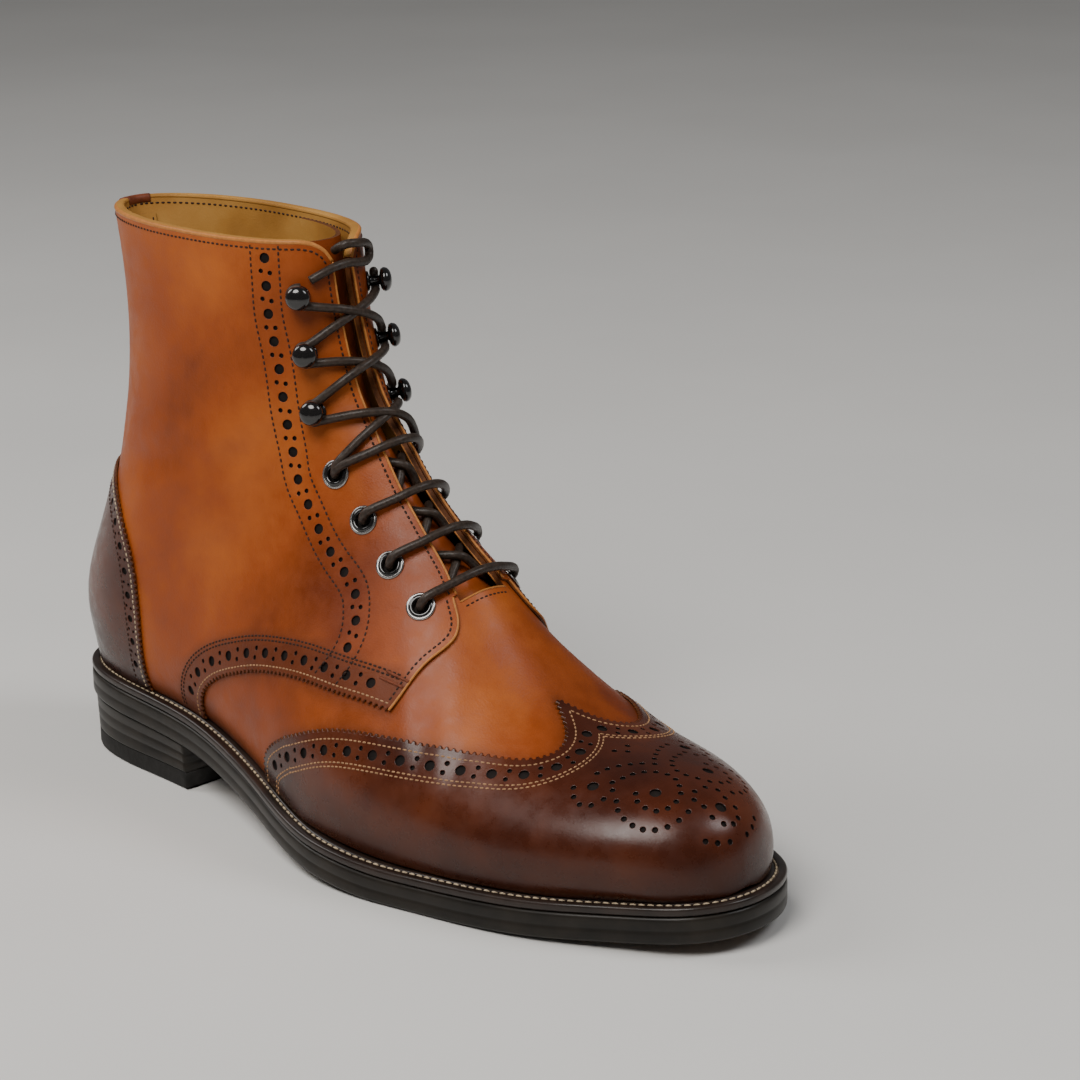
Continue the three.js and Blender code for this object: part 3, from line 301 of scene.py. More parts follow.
# Creases: (x, y, z) of each end, half width and depth of the trough, in millimetres
CREASES = [
    ((196, -28, 70), (212, -50, 44), 5.0, 0.55), ((186, -34, 72), (200, -54, 42), 4.5, 0.4),
    ((207, -14, 66), (221, -44, 42), 4.0, 0.35), ((196, 26, 70), (212, 44, 40), 5.0, 0.5),
    ((186, 34, 70), (200, 46, 42), 4.5, 0.4), ((207, 14, 66), (221, 42, 40), 4.0, 0.3),
    ((112, -26, 128), (92, -30, 116), 5.5, 0.7), ((118, -25, 120), (88, -31, 104), 5.0, 0.45),
    ((76, -29, 122), (46, -27, 112), 6.0, 0.6), ((112, 26, 128), (90, 30, 114), 5.5, 0.7),
    ((76, 29, 122), (46, 27, 110), 6.0, 0.6), ((36, -22, 128), (30, -20, 108), 5.0, 0.5),
    ((36, 22, 128), (30, 20, 108), 5.0, 0.5), ((24, -10, 138), (24, 10, 136), 7.0, 0.5),
]


def relief(p):
    """Depth of the creases at points, negative inwards."""
    total = np.zeros(p.shape[:-1])
    for start, end, width, depth in CREASES:
        a, b = np.array(start, float), np.array(end, float)
        along = np.clip(((p - a) @ (b - a)) / ((b - a) @ (b - a)), -0.2, 1.2)
        away = np.linalg.norm(p - a - along[..., None] * (b - a), axis=-1) / width
        fade = np.clip(1.2 - np.abs(along - 0.5) * 1.4, 0, 1)
        total += depth * fade * (0.55 * np.exp(-(away - 1.7)**2) - np.exp(-away**2))
    return total


def form_at(lift):
    """The creased surface at a height over the last."""
    def form(row, v, back=False):
        p = base(row, v, back)
        return p + normal(row, v, back) * (lift + relief(p))[..., None]
    return form


def lifted(rv, lift):
    """Points at a height over the last."""
    return base(*rv.T) + normal(*rv.T) * lift


def spaced(points, least):
    """Indices of points, each farther than this from the one kept before."""
    keep = [0]
    for i in range(1, len(points)):
        if np.linalg.norm(points[i] - points[keep[-1]]) > least:
            keep.append(i)
    return keep


def shift_on(row, v, back, move):
    """Row and v after a move on the surface by a vector, in millimetres."""
    target = base(row, v, back) + move
    for _ in range(SHIFT_TRIES):
        dr, dv = slopes(np.maximum(row, 0.05), v, back, base)
        left = target - base(row, v, back)
        e, f, g = (dr * dr).sum(-1), (dr * dv).sum(-1), (dv * dv).sum(-1)
        a, b = (left * dr).sum(-1), (left * dv).sum(-1)
        det = np.maximum(e * g - f * f, 1e-9)
        row = np.clip(row + (g * a - f * b) / det, 0.005, COLLAR_ROW + 0.5)
        v = v + (e * b - f * a) / det
    return row, v


class Line:
    """A smooth line on the surface through (row, v) points, measured in millimetres along it."""

    def __init__(self, points, back=False, raw=False, fine=900):
        points = np.asarray(points, float)
        self.back = back
        place = base(points[:, 0], points[:, 1], back)
        far = lengths(place)
        if raw:
            self.rv = points
        else:
            d = np.linspace(0, far[-1], fine)
            self.rv = np.stack([smooth(far, points[:, i])(d) for i in (0, 1)], -1)
        place = base(self.rv[:, 0], self.rv[:, 1], back)
        self.far = lengths(place)
        self.length = self.far[-1]

    def at(self, d, aside=0.0):
        """(row, v) at a distance along the line, moved aside to its left as seen from outside."""
        d = np.asarray(d, float)
        pick = lambda x: np.stack([np.interp(x, self.far, self.rv[:, i]) for i in (0, 1)], -1)
        here = pick(d)
        a, b = pick(np.clip(d - 0.8, 0, self.length)), pick(np.clip(d + 0.8, 0, self.length))
        tangent = unit(base(b[..., 0], b[..., 1], self.back) - base(a[..., 0], a[..., 1], self.back))
        n = normal(here[..., 0], here[..., 1], self.back)
        side = unit(np.cross(n, tangent))
        row, v = shift_on(here[..., 0], here[..., 1], self.back, side * np.asarray(aside, float)[..., None])
        return np.stack([row, v], -1)

    def beside(self, aside, others=()):
        """The line moved aside, without the parts that come too near to it or to the other lines."""
        rv = self.at(np.linspace(0, self.length, 700), aside)
        place = base(rv[:, 0], rv[:, 1], self.back)
        lines = np.concatenate([base(*line.rv.T, line.back) for line in (self, *others)])
        clear = [np.linalg.norm(lines - p, axis=1).min() > TRIM_SHARE * abs(aside) for p in place]
        return Line(rv[clear], self.back, raw=True)


def marks(pitch, length, start=0.0, end=0.0):
    """Middles of equal steps along a length."""
    n = max(1, int(round((length - start - end) / pitch)))
    return start + (np.arange(n) + 0.5) * (length - start - end) / n


# Materials
def material(name, build):
    m = bpy.data.materials.new(name)
    m.use_nodes = True
    tree = m.node_tree
    shader = tree.nodes["Principled BSDF"]

    def node(kind, **values):
        made = tree.nodes.new(kind)
        for key, value in values.items():
            if key in made.inputs.keys():
                made.inputs[key].default_value = value
            else:
                setattr(made, key, value)
        return made
    build(shader, node, tree.links.new)
    return m


def ramp(node, stops):
    made, stops = node("ShaderNodeValToRGB"), list(stops)
    while len(made.color_ramp.elements) < len(stops):
        made.color_ramp.elements.new(0.5)
    for element, (place, colour) in zip(made.color_ramp.elements, stops):
        element.position = place
        element.color = (*colour, 1)
    return made


def leather(colours, rough, coat, grain, patches, burnish_and_shade):
    """Leather in three shades, darkened by the mesh's shade attribute towards one dark colour: the quarters'
    real burnished band, and painted shade near the welt and beside the overlays' edges.
    """
    def build(shader, node, link):
        where = node("ShaderNodeTexCoord").outputs["Object"]
        cloud = node("ShaderNodeTexNoise", Scale=patches, Detail=3.0, Roughness=0.5)
        fine = node("ShaderNodeTexNoise", Scale=170.0, Detail=4.0, Roughness=0.6)
        both = node("ShaderNodeMix", data_type="FLOAT")
        both.inputs[0].default_value = 0.14
        for noise, place in ((cloud, 2), (fine, 3)):
            link(where, noise.inputs["Vector"])
            link(noise.outputs["Fac"], both.inputs[place])
        shades = ramp(node, zip((0.30, 0.50, 0.68), colours))
        link(both.outputs[0], shades.inputs[0])
        shade = node("ShaderNodeAttribute", attribute_name="shade")
        darker = node("ShaderNodeMix", data_type="RGBA")
        link(shade.outputs["Fac"], darker.inputs[0])
        link(shades.outputs[0], darker.inputs[6])
        darker.inputs[7].default_value = (*burnish_and_shade, 1)
        link(darker.outputs[2], shader.inputs["Base Color"])
        gloss = node("ShaderNodeMapRange")
        for end, low, high in (("From ", 0.35, 0.65), ("To ", rough - 0.07, rough + 0.08)):
            gloss.inputs[end + "Min"].default_value, gloss.inputs[end + "Max"].default_value = low, high
        link(fine.outputs["Fac"], gloss.inputs["Value"])
        link(gloss.outputs[0], shader.inputs["Roughness"])
        cells = node("ShaderNodeTexVoronoi", Scale=1500.0, feature="F1")
        creased = node("ShaderNodeTexNoise", Scale=420.0, Detail=6.0, Roughness=0.7, Distortion=0.6)
        link(where, cells.inputs["Vector"])
        link(where, creased.inputs["Vector"])
        add = node("ShaderNodeMath", operation="MULTIPLY_ADD")
        link(cells.outputs["Distance"], add.inputs[0])
        add.inputs[1].default_value = 0.35
        link(creased.outputs["Fac"], add.inputs[2])
        bump = node("ShaderNodeBump", Strength=grain, Distance=0.0006)
        link(add.outputs[0], bump.inputs["Height"])
        link(bump.outputs[0], shader.inputs["Normal"])
        shader.inputs["Coat Weight"].default_value = coat
        shader.inputs["Coat Roughness"].default_value = 0.26
        shader.inputs["Specular IOR Level"].default_value = 0.28
    return build


def plain(colour, rough, metal, coat, noise, scale=300.0, bump_strength=0.0):
    def build(shader, node, link):
        where = node("ShaderNodeTexCoord").outputs["Object"]
        speck = node("ShaderNodeTexNoise", Scale=scale, Detail=4.0)
        link(where, speck.inputs["Vector"])
        low = tuple(c * (1 - noise) for c in colour)
        high = tuple(min(1, c * (1 + noise)) for c in colour)
        colours = ramp(node, [(0.35, low), (0.65, high)])
        link(speck.outputs["Fac"], colours.inputs[0])
        link(colours.outputs[0], shader.inputs["Base Color"])
        shader.inputs["Roughness"].default_value = rough
        shader.inputs["Metallic"].default_value = metal
        shader.inputs["Specular IOR Level"].default_value = 0.5 if metal else 0.25
        shader.inputs["Coat Weight"].default_value = coat
        if bump_strength:
            bump = node("ShaderNodeBump", Strength=bump_strength, Distance=0.0005)
            link(speck.outputs["Fac"], bump.inputs["Height"])
            link(bump.outputs[0], shader.inputs["Normal"])
    return build


TAN = material("tan_leather", leather(
    [(0.140, 0.022, 0.0020), (0.290, 0.055, 0.0045), (0.440, 0.108, 0.0110)], rough=0.44, coat=0.06,
    grain=0.17, patches=15.0, burnish_and_shade=(0.035, 0.008, 0.0025)))
BROWN = material("brown_leather", leather(
    [(0.028, 0.0050, 0.0016), (0.062, 0.0120, 0.0034), (0.120, 0.026, 0.0065)], rough=0.30, coat=0.22,
    grain=0.07, patches=24.0, burnish_and_shade=(0.010, 0.0024, 0.0012)))
LINING = material("lining_leather", leather(
    [(0.30, 0.135, 0.024), (0.40, 0.19, 0.038), (0.48, 0.25, 0.060)], rough=0.62, coat=0.0, grain=0.16,
    patches=40.0, burnish_and_shade=(0.10, 0.045, 0.015)))
# name: colour, roughness, metal, coat, noise, its scale, bump
(RAW, EDGE, TAB, HOLE_SHADE, DARK_THREAD, TAN_THREAD, PALE_THREAD, WELT, SOLE, SOLE_UNDER, RUBBER, CORD,
 BLACK_METAL, RING_METAL) = [material(name, plain(*values)) for name, values in {
    "raw_edge": ((0.11, 0.036, 0.010), 0.6, 0, 0, 0.3, 900, 0.2),
    # bright_edge paints the highlight on the edge tubes of the facings and quarter fronts; it also colours
    # the throat bead and the collar binding
    "bright_edge": ((0.46, 0.175, 0.040), 0.42, 0, 0, 0.12, 700, 0.1),
    "tab_leather": ((0.16, 0.040, 0.016), 0.45, 0, 0, 0.2, 500, 0.15),
    # punched_hole_shade: near-black painted shade for the floors and walls of the punched holes
    "punched_hole_shade": ((0.008, 0.005, 0.004), 0.8, 0, 0, 0.3),
    "dark_thread": ((0.030, 0.012, 0.007), 0.6, 0, 0, 0.3, 1500),
    "tan_thread": ((0.36, 0.20, 0.10), 0.6, 0, 0, 0.3, 1500),
    "pale_thread": ((0.42, 0.33, 0.22), 0.6, 0, 0, 0.35, 1200),
    "welt_leather": ((0.020, 0.012, 0.009), 0.36, 0, 0.30, 0.35, 120, 0.25),
    "sole_edge": ((0.013, 0.010, 0.007), 0.45, 0, 0.1, 0.4, 90, 0.2),
    "sole_under": ((0.11, 0.062, 0.030), 0.55, 0, 0, 0.25, 60, 0.2),
    "lift_rubber": ((0.012, 0.011, 0.010), 0.65, 0, 0, 0.3, 400, 0.4),
    "waxed_cord": ((0.034, 0.023, 0.017), 0.42, 0, 0.08, 0.35, 900, 0.35),
    "black_enamel": ((0.006, 0.005, 0.005), 0.16, 0, 1.0, 0.2),
    "worn_enamel": ((0.32, 0.31, 0.30), 0.24, 0.9, 0, 0.25)}.items()]


# Meshes
def put(name, points, faces, materials, kinds=None, normals=None, shade=None, replaced=()):
    """A mesh piece from points in the boot's frame, in millimetres."""
    mesh = bpy.data.meshes.new(name)
    points = (np.asarray(points, float) + SHIFT) * MM
    mesh.from_pydata(points.tolist(), [], [tuple(int(i) for i in f) for f in faces])
    for m in materials:
        mesh.materials.append(m)
    if kinds is not None:
        mesh.polygons.foreach_set("material_index", np.asarray(kinds, np.int32))
    mesh.polygons.foreach_set("use_smooth", np.ones(len(mesh.polygons), bool))
    if shade is not None:
        layer = mesh.attributes.new("shade", "FLOAT", "POINT")
        layer.data.foreach_set("value", np.asarray(shade, np.float32))
    mesh.update()
    if normals is not None:
        mesh.normals_split_custom_set_from_vertices(np.asarray(normals, float).tolist())
    piece = bpy.data.objects.new(name, mesh)
    bpy.context.scene.collection.objects.link(piece)
    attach(piece, "root")
    if replaced:
        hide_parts(*replaced)
    return piece


def grid_faces(rows, columns):
    """Quads of a grid whose points are counted along each row."""
    return [[a + j, a + j + 1, a + columns + j + 1, a + columns + j]
            for a in range(0, (rows - 1) * columns, columns) for j in range(columns - 1)]


def ring_faces(rings, sides, capped=True):
    """Quads between rings of points, and the two ends."""
    faces = [(a + k, a + (k + 1) % sides, a + sides + (k + 1) % sides, a + sides + k)
             for a in range(0, (rings - 1) * sides, sides) for k in range(sides)]
    if capped:
        faces += [tuple(range(sides))[::-1], tuple((rings - 1) * sides + k for k in range(sides))]
    return faces


def inside(points, polygon):
    """Which points lie in the polygon."""
    x, y = points[:, 0], points[:, 1]
    result = np.zeros(len(points), bool)
    x0, y0 = polygon[:, 0], polygon[:, 1]
    x1, y1 = np.roll(x0, -1), np.roll(y0, -1)
    for a, b, c, d in zip(x0, y0, x1, y1):
        if b == d:
            continue
        result ^= ((b > y) != (d > y)) & (x < (c - a) * (y - b) / (d - b) + a)
    return result


# Plane map of the surface for triangulation, about true to size
map_rows = np.linspace(0, COLLAR_ROW, 721)
map_far = lengths(base(map_rows, 0 * map_rows - 0.5))


def to_plane(rv):
    return np.stack([np.interp(rv[..., 0], map_rows, map_far), rv[..., 1] * ROUND_MM], -1)


def from_plane(p):
    return np.stack([np.interp(p[..., 0], map_far, map_rows), p[..., 1] / ROUND_MM], -1)


def round_holes(centres, radii, back, count):
    """Rings of (row, v) points round the centres."""
    angle = (np.arange(count) * 2 * np.pi / count)[None, :, None]
    row, v = centres[:, 0], centres[:, 1]
    e1 = unit(slopes(np.maximum(row, 0.05), v, back, base)[0])
    e2 = np.cross(normal(row, v, back), e1)
    move = radii[:, None, None] * (np.cos(angle) * e1[:, None] + np.sin(angle) * e2[:, None])
    wide = np.ones((1, count))
    return np.stack(shift_on(row[:, None] * wide, v[:, None] * wide, back, move), -1)


def inwards(loop, back, amount):
    """A loop moved in by an amount, in millimetres; the loop runs anticlockwise on the plane map."""
    p = base(loop[:, 0], loop[:, 1], back)
    n = normal(loop[:, 0], loop[:, 1], back)
    before, after = unit(p - np.roll(p, 1, 0)), unit(np.roll(p, -1, 0) - p)
    side = unit(np.cross(n, before) + np.cross(n, after))
    reach = amount / np.clip((side * np.cross(n, before)).sum(-1), 0.5, 1)
    row, v = shift_on(loop[:, 0], loop[:, 1], back, side * reach[:, None])
    return np.stack([row, v], -1)


def turned_area(a, b):
    """Twice the signed area that two sets of plane vectors span."""
    return a[:, 0] * b[:, 1] - a[:, 1] * b[:, 0]


def grid_inside(border, fixed, holes, spacing=PANEL_SPACING):
    """Points of a staggered grid within the border, clear of the fixed points and of the holes."""
    (u0, v0), (u1, v1) = border.min(0), border.max(0)
    grid = np.stack(np.meshgrid(np.arange(u0 + spacing / 2, u1, spacing),
                                np.arange(v0 + spacing / 2, v1, spacing), indexing="ij"), -1)
    grid[::2, :, 1] += spacing / 2
    grid = grid.reshape(-1, 2)
    grid = grid[inside(grid, border)]
    keep = np.ones(len(grid), bool)
    for chunk in range(0, len(fixed), 400):
        gap = np.linalg.norm(grid[:, None] - fixed[None, chunk:chunk + 400], axis=-1).min(1)
        keep &= gap > 0.42 * spacing
    for centre, radius in holes:
        keep &= np.linalg.norm(grid - to_plane(centre), axis=1) > radius + 0.4 * spacing
    return grid[keep]


def triangles(flat, edges, border, facing):
    """Triangles between plane points, within the border, all turned to one side."""
    corners, _, faces, source = delaunay_2d_cdt([Vector(p) for p in flat], edges, [], 0, 1e-7)[:4]
    origin = np.array([s[0] if s else -1 for s in source])
    corners, tri = np.array([[v.x, v.y] for v in corners]), np.array([list(f[:3]) for f in faces])
    good = inside(corners[tri].mean(1), border) & (origin[tri] >= 0).all(1)
    tri = origin[tri[good]]
    a, b, c = (flat[tri[:, k]] for k in range(3))
    turn = turned_area(b - a, c - a)
    tri[turn * facing < 0] = tri[turn * facing < 0][:, ::-1]
    return tri[np.abs(turn) > 1e-9]


def panel(name, loop, holes, low, high, materials, tint, replaced, back=False, hole_depth=0.85):
    """A closed leather panel from its edge and holes in (row, v); materials are skin, the painted shade in
    the holes, and edge.
    """
    facing = -1 if not back else 1  # the plane map turns over seen from outside
    border = to_plane(loop)
    if turned_area(border, np.roll(border, -1, 0)).sum() * facing < 0:
        loop = loop[::-1]
    points, edges = [], []

    def add_ring(ring):
        start, count = sum(len(p) for p in points), len(ring)
        points.append(ring)
        edges.extend((start + i, start + (i + 1) % count) for i in range(count))
        return start
    inner = inwards(loop, back, ROUND_EDGE)
    add_ring(loop)
    add_ring(inner)
    hole_rings = []
    centres, radii = np.array([h[0] for h in holes]), np.array([h[1] for h in holes])
    for some, count in ((radii > BIG_HOLE, BIG_HOLE_SIDES), (radii <= BIG_HOLE, SMALL_HOLE_SIDES)):
        for outer, ring in zip(round_holes(centres[some], radii[some] + HOLE_EDGE, back, count),
                               round_holes(centres[some], radii[some], back, count)):
            add_ring(outer)
            hole_rings.append(slice(add_ring(ring), sum(len(p) for p in points)))
    fixed = to_plane(np.concatenate(points))
    grid = grid_inside(to_plane(inner), fixed, holes)
    rv = np.concatenate([*points, from_plane(grid)])
    tri = triangles(np.concatenate([fixed, grid]), edges, to_plane(loop), facing)
    belongs = np.full(len(rv), -1)
    for k, ring in enumerate(hole_rings):
        belongs[ring] = k
    owner = belongs[tri]
    in_hole = (owner[:, 0] >= 0) & (owner[:, 0] == owner[:, 1]) & (owner[:, 1] == owner[:, 2])

    # top sheet, its rounded edges and the under side
    sheet = form_at(0.0)
    place = sheet(*rv.T, back)
    up, shaded = normal(*rv.T, back), normal(*rv.T, back, sheet)
    top, under, normals = place + up * high, place + up * low, shaded.copy()
    count, total = len(loop), len(rv)
    out_dir = unit(place[:count] - place[count:2 * count])
    top[:count] -= up[:count] * ROUND_EDGE * 0.8
    normals[:count] = unit(shaded[:count] + 1.3 * out_dir)
    for ring in hole_rings:
        inward = unit(place[ring].mean(0) - place[ring])
        top[ring] -= up[ring] * HOLE_EDGE
        normals[ring] = unit(shaded[ring] + 1.2 * inward)
    verts, norms = [top, under], [normals, -shaded]
    faces = [tuple(f) for f in tri[~in_hole]]
    kinds = [0] * len(faces) + [2] * len(tri)
    faces += [tuple(f[::-1] + total) for f in tri]
    offset = 2 * total

    def wall(upper, lower, outwards, kind):
        nonlocal offset
        n = len(upper)
        verts.extend([upper, lower])
        norms.extend([outwards, outwards])
        for i in range(n):
            j = (i + 1) % n
            faces.append((offset + i, offset + n + i, offset + n + j, offset + j))
        kinds.extend([kind] * n)
        offset += 2 * n
    wall(top[:count], under[:count], out_dir, 2)
    # Hole walls and floors take the second material: a near-black painted shade standing in for the shadow
    # on the layer beneath.
    for ring in hole_rings:
        inward = unit(place[ring].mean(0) - place[ring])
        floor = place[ring] + up[ring] * (high - hole_depth)
        wall(top[ring][::-1], floor[::-1], inward[::-1], 1)
        verts.append(floor)
        norms.append(up[ring])
        faces.append(tuple(range(offset, offset + len(floor))))
        kinds.append(1)
        offset += len(floor)
    shade = np.zeros(offset)
    shade[:total] = tint(place)
    put(name, np.concatenate(verts), faces, materials, kinds, np.concatenate(norms), shade, replaced)


# Stitches: short threads lying on the surface
def stitch_mesh(name, runs, material_used, length, width, height):
    """runs are (points, directions, normals) of the stitches' middles."""
    shape = []
    for along, wide_at, rise in ((-0.5, 0.25, 0), (-0.36, 0.9, 0.75), (0, 1, 1), (0.36, 0.9, 0.75),
                                 (0.5, 0.25, 0)):
        for across, up in ((-0.5, 0), (-0.32, 0.7), (0, 1), (0.32, 0.7), (0.5, 0)):
            shape.append((along * length, across * width * wide_at, (up * rise - 0.35) * height))
    shape = np.array(shape)
    quads = [(f[0], *f[:0:-1]) for f in grid_faces(5, 5)] + [(0, 1, 2, 3, 4), (24, 23, 22, 21, 20)]
    quads += [(i * 5 + 4, (i + 1) * 5 + 4, (i + 1) * 5, i * 5) for i in range(4)]
    verts, faces = [], []
    for points, along, up in runs:
        for p, t, n in zip(points, along, up):
            t = unit(t - n * (t @ n))
            side = np.cross(n, t)
            start = len(verts) * len(shape)
            verts.append(p + shape[:, :1] * t + shape[:, 1:2] * side + shape[:, 2:] * n)
            faces += [tuple(start + i for i in f) for f in quads]
    put(name, np.concatenate(verts), faces, [material_used])


def stitch_row(line, lift, pitch, start=1.0, end=1.0, turned=False):
    """Middles, directions and normals of the stitches along a line."""
    d, form = marks(pitch, line.length, start, end), form_at(lift)
    here = line.at(d).T
    ahead = form(*line.at(np.minimum(d + 0.5, line.length)).T, line.back)
    behind = form(*line.at(np.maximum(d - 0.5, 0)).T, line.back)
    n = normal(*here, line.back)
    return form(*here, line.back), unit(ahead - behind), -n if turned else n


def hole_row(line, pitch, big, small, start, end, pair=1.6):
    """Large holes with pairs of small ones between them."""
    d = marks(pitch, line.length, start, end)
    between = (d[:-1] + d[1:]) / 2
    return [(p, big) for p in line.at(d)] + [(p, small) for away in (-pair, pair)
                                            for p in line.at(between + np.sign(away) * PAIR_SHIFT, away)]


def pinked(line, pitch=2.3, depth=0.95):
    """A toothed edge along a line; the teeth's valleys lie on its left side."""
    n = int(round(line.length / pitch))
    tooth = ((0.1, 0), (0.4, 0), (0.6, 1), (0.9, 1))
    place, deep = np.array([(k + share, level) for k in range(n) for share, level in tooth]).T
    return line.at(place * line.length / n, deep * depth)


def on_side(points, side):
    """(row, round) points in order of growing round, on a side as (row, v) in order of growing v."""
    row, turn = np.asarray(points, float).T
    points = np.stack([row, side * turn * foot_turn(row, side)], -1)
    return points if side > 0 else points[::-1]


def turned_to(points, side):
    """(row, turn) points in order of growing turn, on a side as (row, v) in order of growing v."""
    points = np.asarray(points, float) * (1, side)
    return points if side > 0 else points[::-1]


def facing_turn(row, side):
    """Turn of the facing's edge."""
    return turn_at_width(row, side, throat_open(row) * THROAT_WIDTH / 2)


def trimmed(row, turn):
    """Rows drawn down towards the collar's edge where it is cut low in front."""
    return np.where(row <= 15, row, 15 + (row - 15) * (collar_row(turn) - 15) / (COLLAR_ROW - 15))


# Camera, fitted to the photograph
CAMERA_ANGLES = (45, 16.8123, -1.02064)  # azimuth, elevation and roll, in degrees
CAMERA_PLACE = (943.623, -724.145, 422.229)
CAMERA_LENS, CAMERA_SENSOR = 112.107, 36


def place_camera():
    azimuth, elevation, roll = map(math.radians, CAMERA_ANGLES)
    position = (np.array(CAMERA_PLACE) + SHIFT) * MM
    right = np.array([math.cos(azimuth), math.sin(azimuth), 0])
    back = np.array([math.sin(azimuth) * math.cos(elevation), -math.cos(azimuth) * math.cos(elevation),
                     math.sin(elevation)])
    up = np.cross(back, right)
    turned_right = right * math.cos(roll) + up * math.sin(roll)
    turned_up = up * math.cos(roll) - right * math.sin(roll)
    data = bpy.data.cameras.new("camera")
    data.sensor_width, data.lens = CAMERA_SENSOR, CAMERA_LENS
    camera = bpy.data.objects.new("camera", data)
    camera.matrix_world = Matrix([(turned_right[i], turned_up[i], back[i], position[i])
                                  for i in range(3)] + [(0, 0, 0, 1)])
    bpy.context.scene.collection.objects.link(camera)
    bpy.context.scene.camera = camera


place_camera()


# Cords
def over(row, y, lift):
    """The point over the last at a row and at y from the middle, in front."""
    side = -1 if y < 0 else 1
    turn = turn_at_width(np.array(row), side, y)
    v = np.array(side * max(float(turn), 1e-4))
    row = np.array(float(row))
    return base(row, v) + normal(row, v) * lift


def catmull(points, steps):
    """Points along a centripetal Catmull-Rom curve."""
    p = np.asarray(points, float)
    p = np.concatenate([[2 * p[0] - p[1]], p, [2 * p[-1] - p[-2]]])
    out = []
    for i in range(1, len(p) - 2):
        a, b, c, d = p[i - 1:i + 3]
        ta, tb, tc = (max(np.linalg.norm(q - r), 1e-6)**0.5 for q, r in ((b, a), (c, b), (d, c)))
        m1 = ((b - a) / ta - (c - a) / (ta + tb) + (c - b) / tb) * tb
        m2 = ((c - b) / tb - (d - b) / (tb + tc) + (d - c) / tc) * tb
        for t in np.arange(steps) / steps:
            out.append(b + m1 * t + (3 * (c - b) - 2 * m1 - m2) * t**2 + (2 * (b - c) + m1 + m2) * t**3)
    out.append(p[-2])
    return np.array(out)


def tube(points, radius, sides=12):
    """A closed tube: points, faces and a map of each face corner, along and round it."""
    p = np.asarray(points, float)
    tangent = unit(np.gradient(p, axis=0))
    across = unit(np.cross(tangent[0], (0.3, 0.5, 0.8)))
    verts, ring = [], np.arange(sides) * 2 * np.pi / sides
    for i in range(len(p)):
        across = unit(across - tangent[i] * (across @ tangent[i]))
        beside = np.cross(tangent[i], across)
        r = radius(i) if callable(radius) else radius
        verts.append(p[i] + r * (np.cos(ring)[:, None] * across + np.sin(ring)[:, None] * beside))
    far = lengths(p)
    uv = [(far[i + di], (k + dk) / sides) for i in range(len(p) - 1) for k in range(sides)
          for di, dk in ((0, 0), (0, 1), (1, 1), (1, 0))] + [(0, 0)] * 2 * sides
    return np.concatenate(verts), ring_faces(len(p), sides), uv


def put_tubes(name, paths, radius, used, replaced=(), sides=12):
    verts, faces, uv, start = [], [], [], 0
    for path in paths:
        v, f, u = tube(path, radius, sides)
        verts.append(v)
        faces += [tuple(i + start for i in face) for face in f]
        uv += u
        start += len(v)
    piece = put(name, np.concatenate(verts), faces, [used], replaced=replaced)
    layer = piece.data.uv_layers.new(name="along")
    layer.data.foreach_set("uv", np.asarray(uv, np.float32).ravel())
    return piece


LACE_END = [(16.78, -11.6, 3.05), (16.92, -8.5, 3.10), (17.05, -5.0, 3.10), (17.10, 0.0, 2.90),
            (17.05, 4.5, 3.10), (17.02, 8.0, 3.10), (17.15, 11.0, 3.20), (17.42, 11.2, 3.30),
            (17.62, 8.6, 3.40), (17.70, 4.8, 3.50), (17.74, 1.8, 2.90), (17.70, 0.2, 1.55),
            (17.62, -0.4, -0.40), (17.52, -0.6, -2.40)]
LACE_CLEAR = 0.25
EYELET_HOLE = 2.8
HOOK_FOOT = SKIN_TOP + 0.4
RIM_TOP = HOOK_FOOT + 0.8
LACE_INSIDE = VAMP_LOW - 0.1 - LACE_CLEAR - LACE_RADIUS
LACE_ON_RIM = RIM_TOP + LACE_CLEAR + LACE_RADIUS
LACE_OUTSIDE = SKIN_TOP + LACE_CLEAR + LACE_RADIUS + 0.5
LACE_ON_HOOK = HOOK_FOOT + 0.4 + LACE_CLEAR + LACE_RADIUS
HOOK_SHANK = 1.4
CROSSING_RISE = 2.7
CROSSING_STOPS = [0.2, 0.35, 0.5, 0.65, 0.8]

end_path = catmull([over(*p) for p in LACE_END], 10)
lace_end = put_tubes("lace_end_cord", [end_path], LACE_RADIUS, CORD, ["lace_end"])


class Spot:
    """An eyelet's or hook's place on the surface."""

    def __init__(self, row, apart, side):
        y = side * apart / 2
        self.row, self.y = row, y
        turn = float(turn_at_width(np.array(row), side, y))
        self.rv = np.array([row, side * turn])
        self.point = over(row, y, 0)
        self.out = normal(np.array(row), np.array(side * turn))
        up = over(row + 0.05, y, 0) - self.point
        self.up = unit(up - self.out * (up @ self.out))
        away = np.cross(self.out, self.up)
        self.away = away if away[1] * side > 0 else -away

    def at(self, away, up, out):
        return self.point + self.away * away + self.up * up + self.out * out


spots = [{side: Spot(row, apart, side) for side in (-1, 1)} for row, apart in LEVELS]


def across(row0, y0, row1, y1, lift, stops):
    """Points over the last between two places; the height is a number or depends on the share of the way."""
    lift = lift if callable(lift) else (lambda share, value=lift: value)
    return [over(row0 + s * (row1 - row0), y0 + s * (y1 - y0), lift(s)) for s in stops]


def out_of(spot):
    """The way of the lace out of an eyelet and over its rim, towards the middle."""
    return [spot.at(0.5, 0, -1.6), spot.at(0.25, 0, 0.2), spot.at(-0.1, 0, RIM_TOP - 0.4),
            spot.at(-1.4, 0, RIM_TOP + 1.2), spot.at(-3.4, 0.1, LACE_ON_RIM)]


def into(spot, row_step):
    """Inside the boot, from the bore towards the next level."""
    return [spot.at(-3.2, row_step * 2.4, LACE_INSIDE), spot.at(-0.6, row_step * 0.7, LACE_INSIDE + 0.4)]


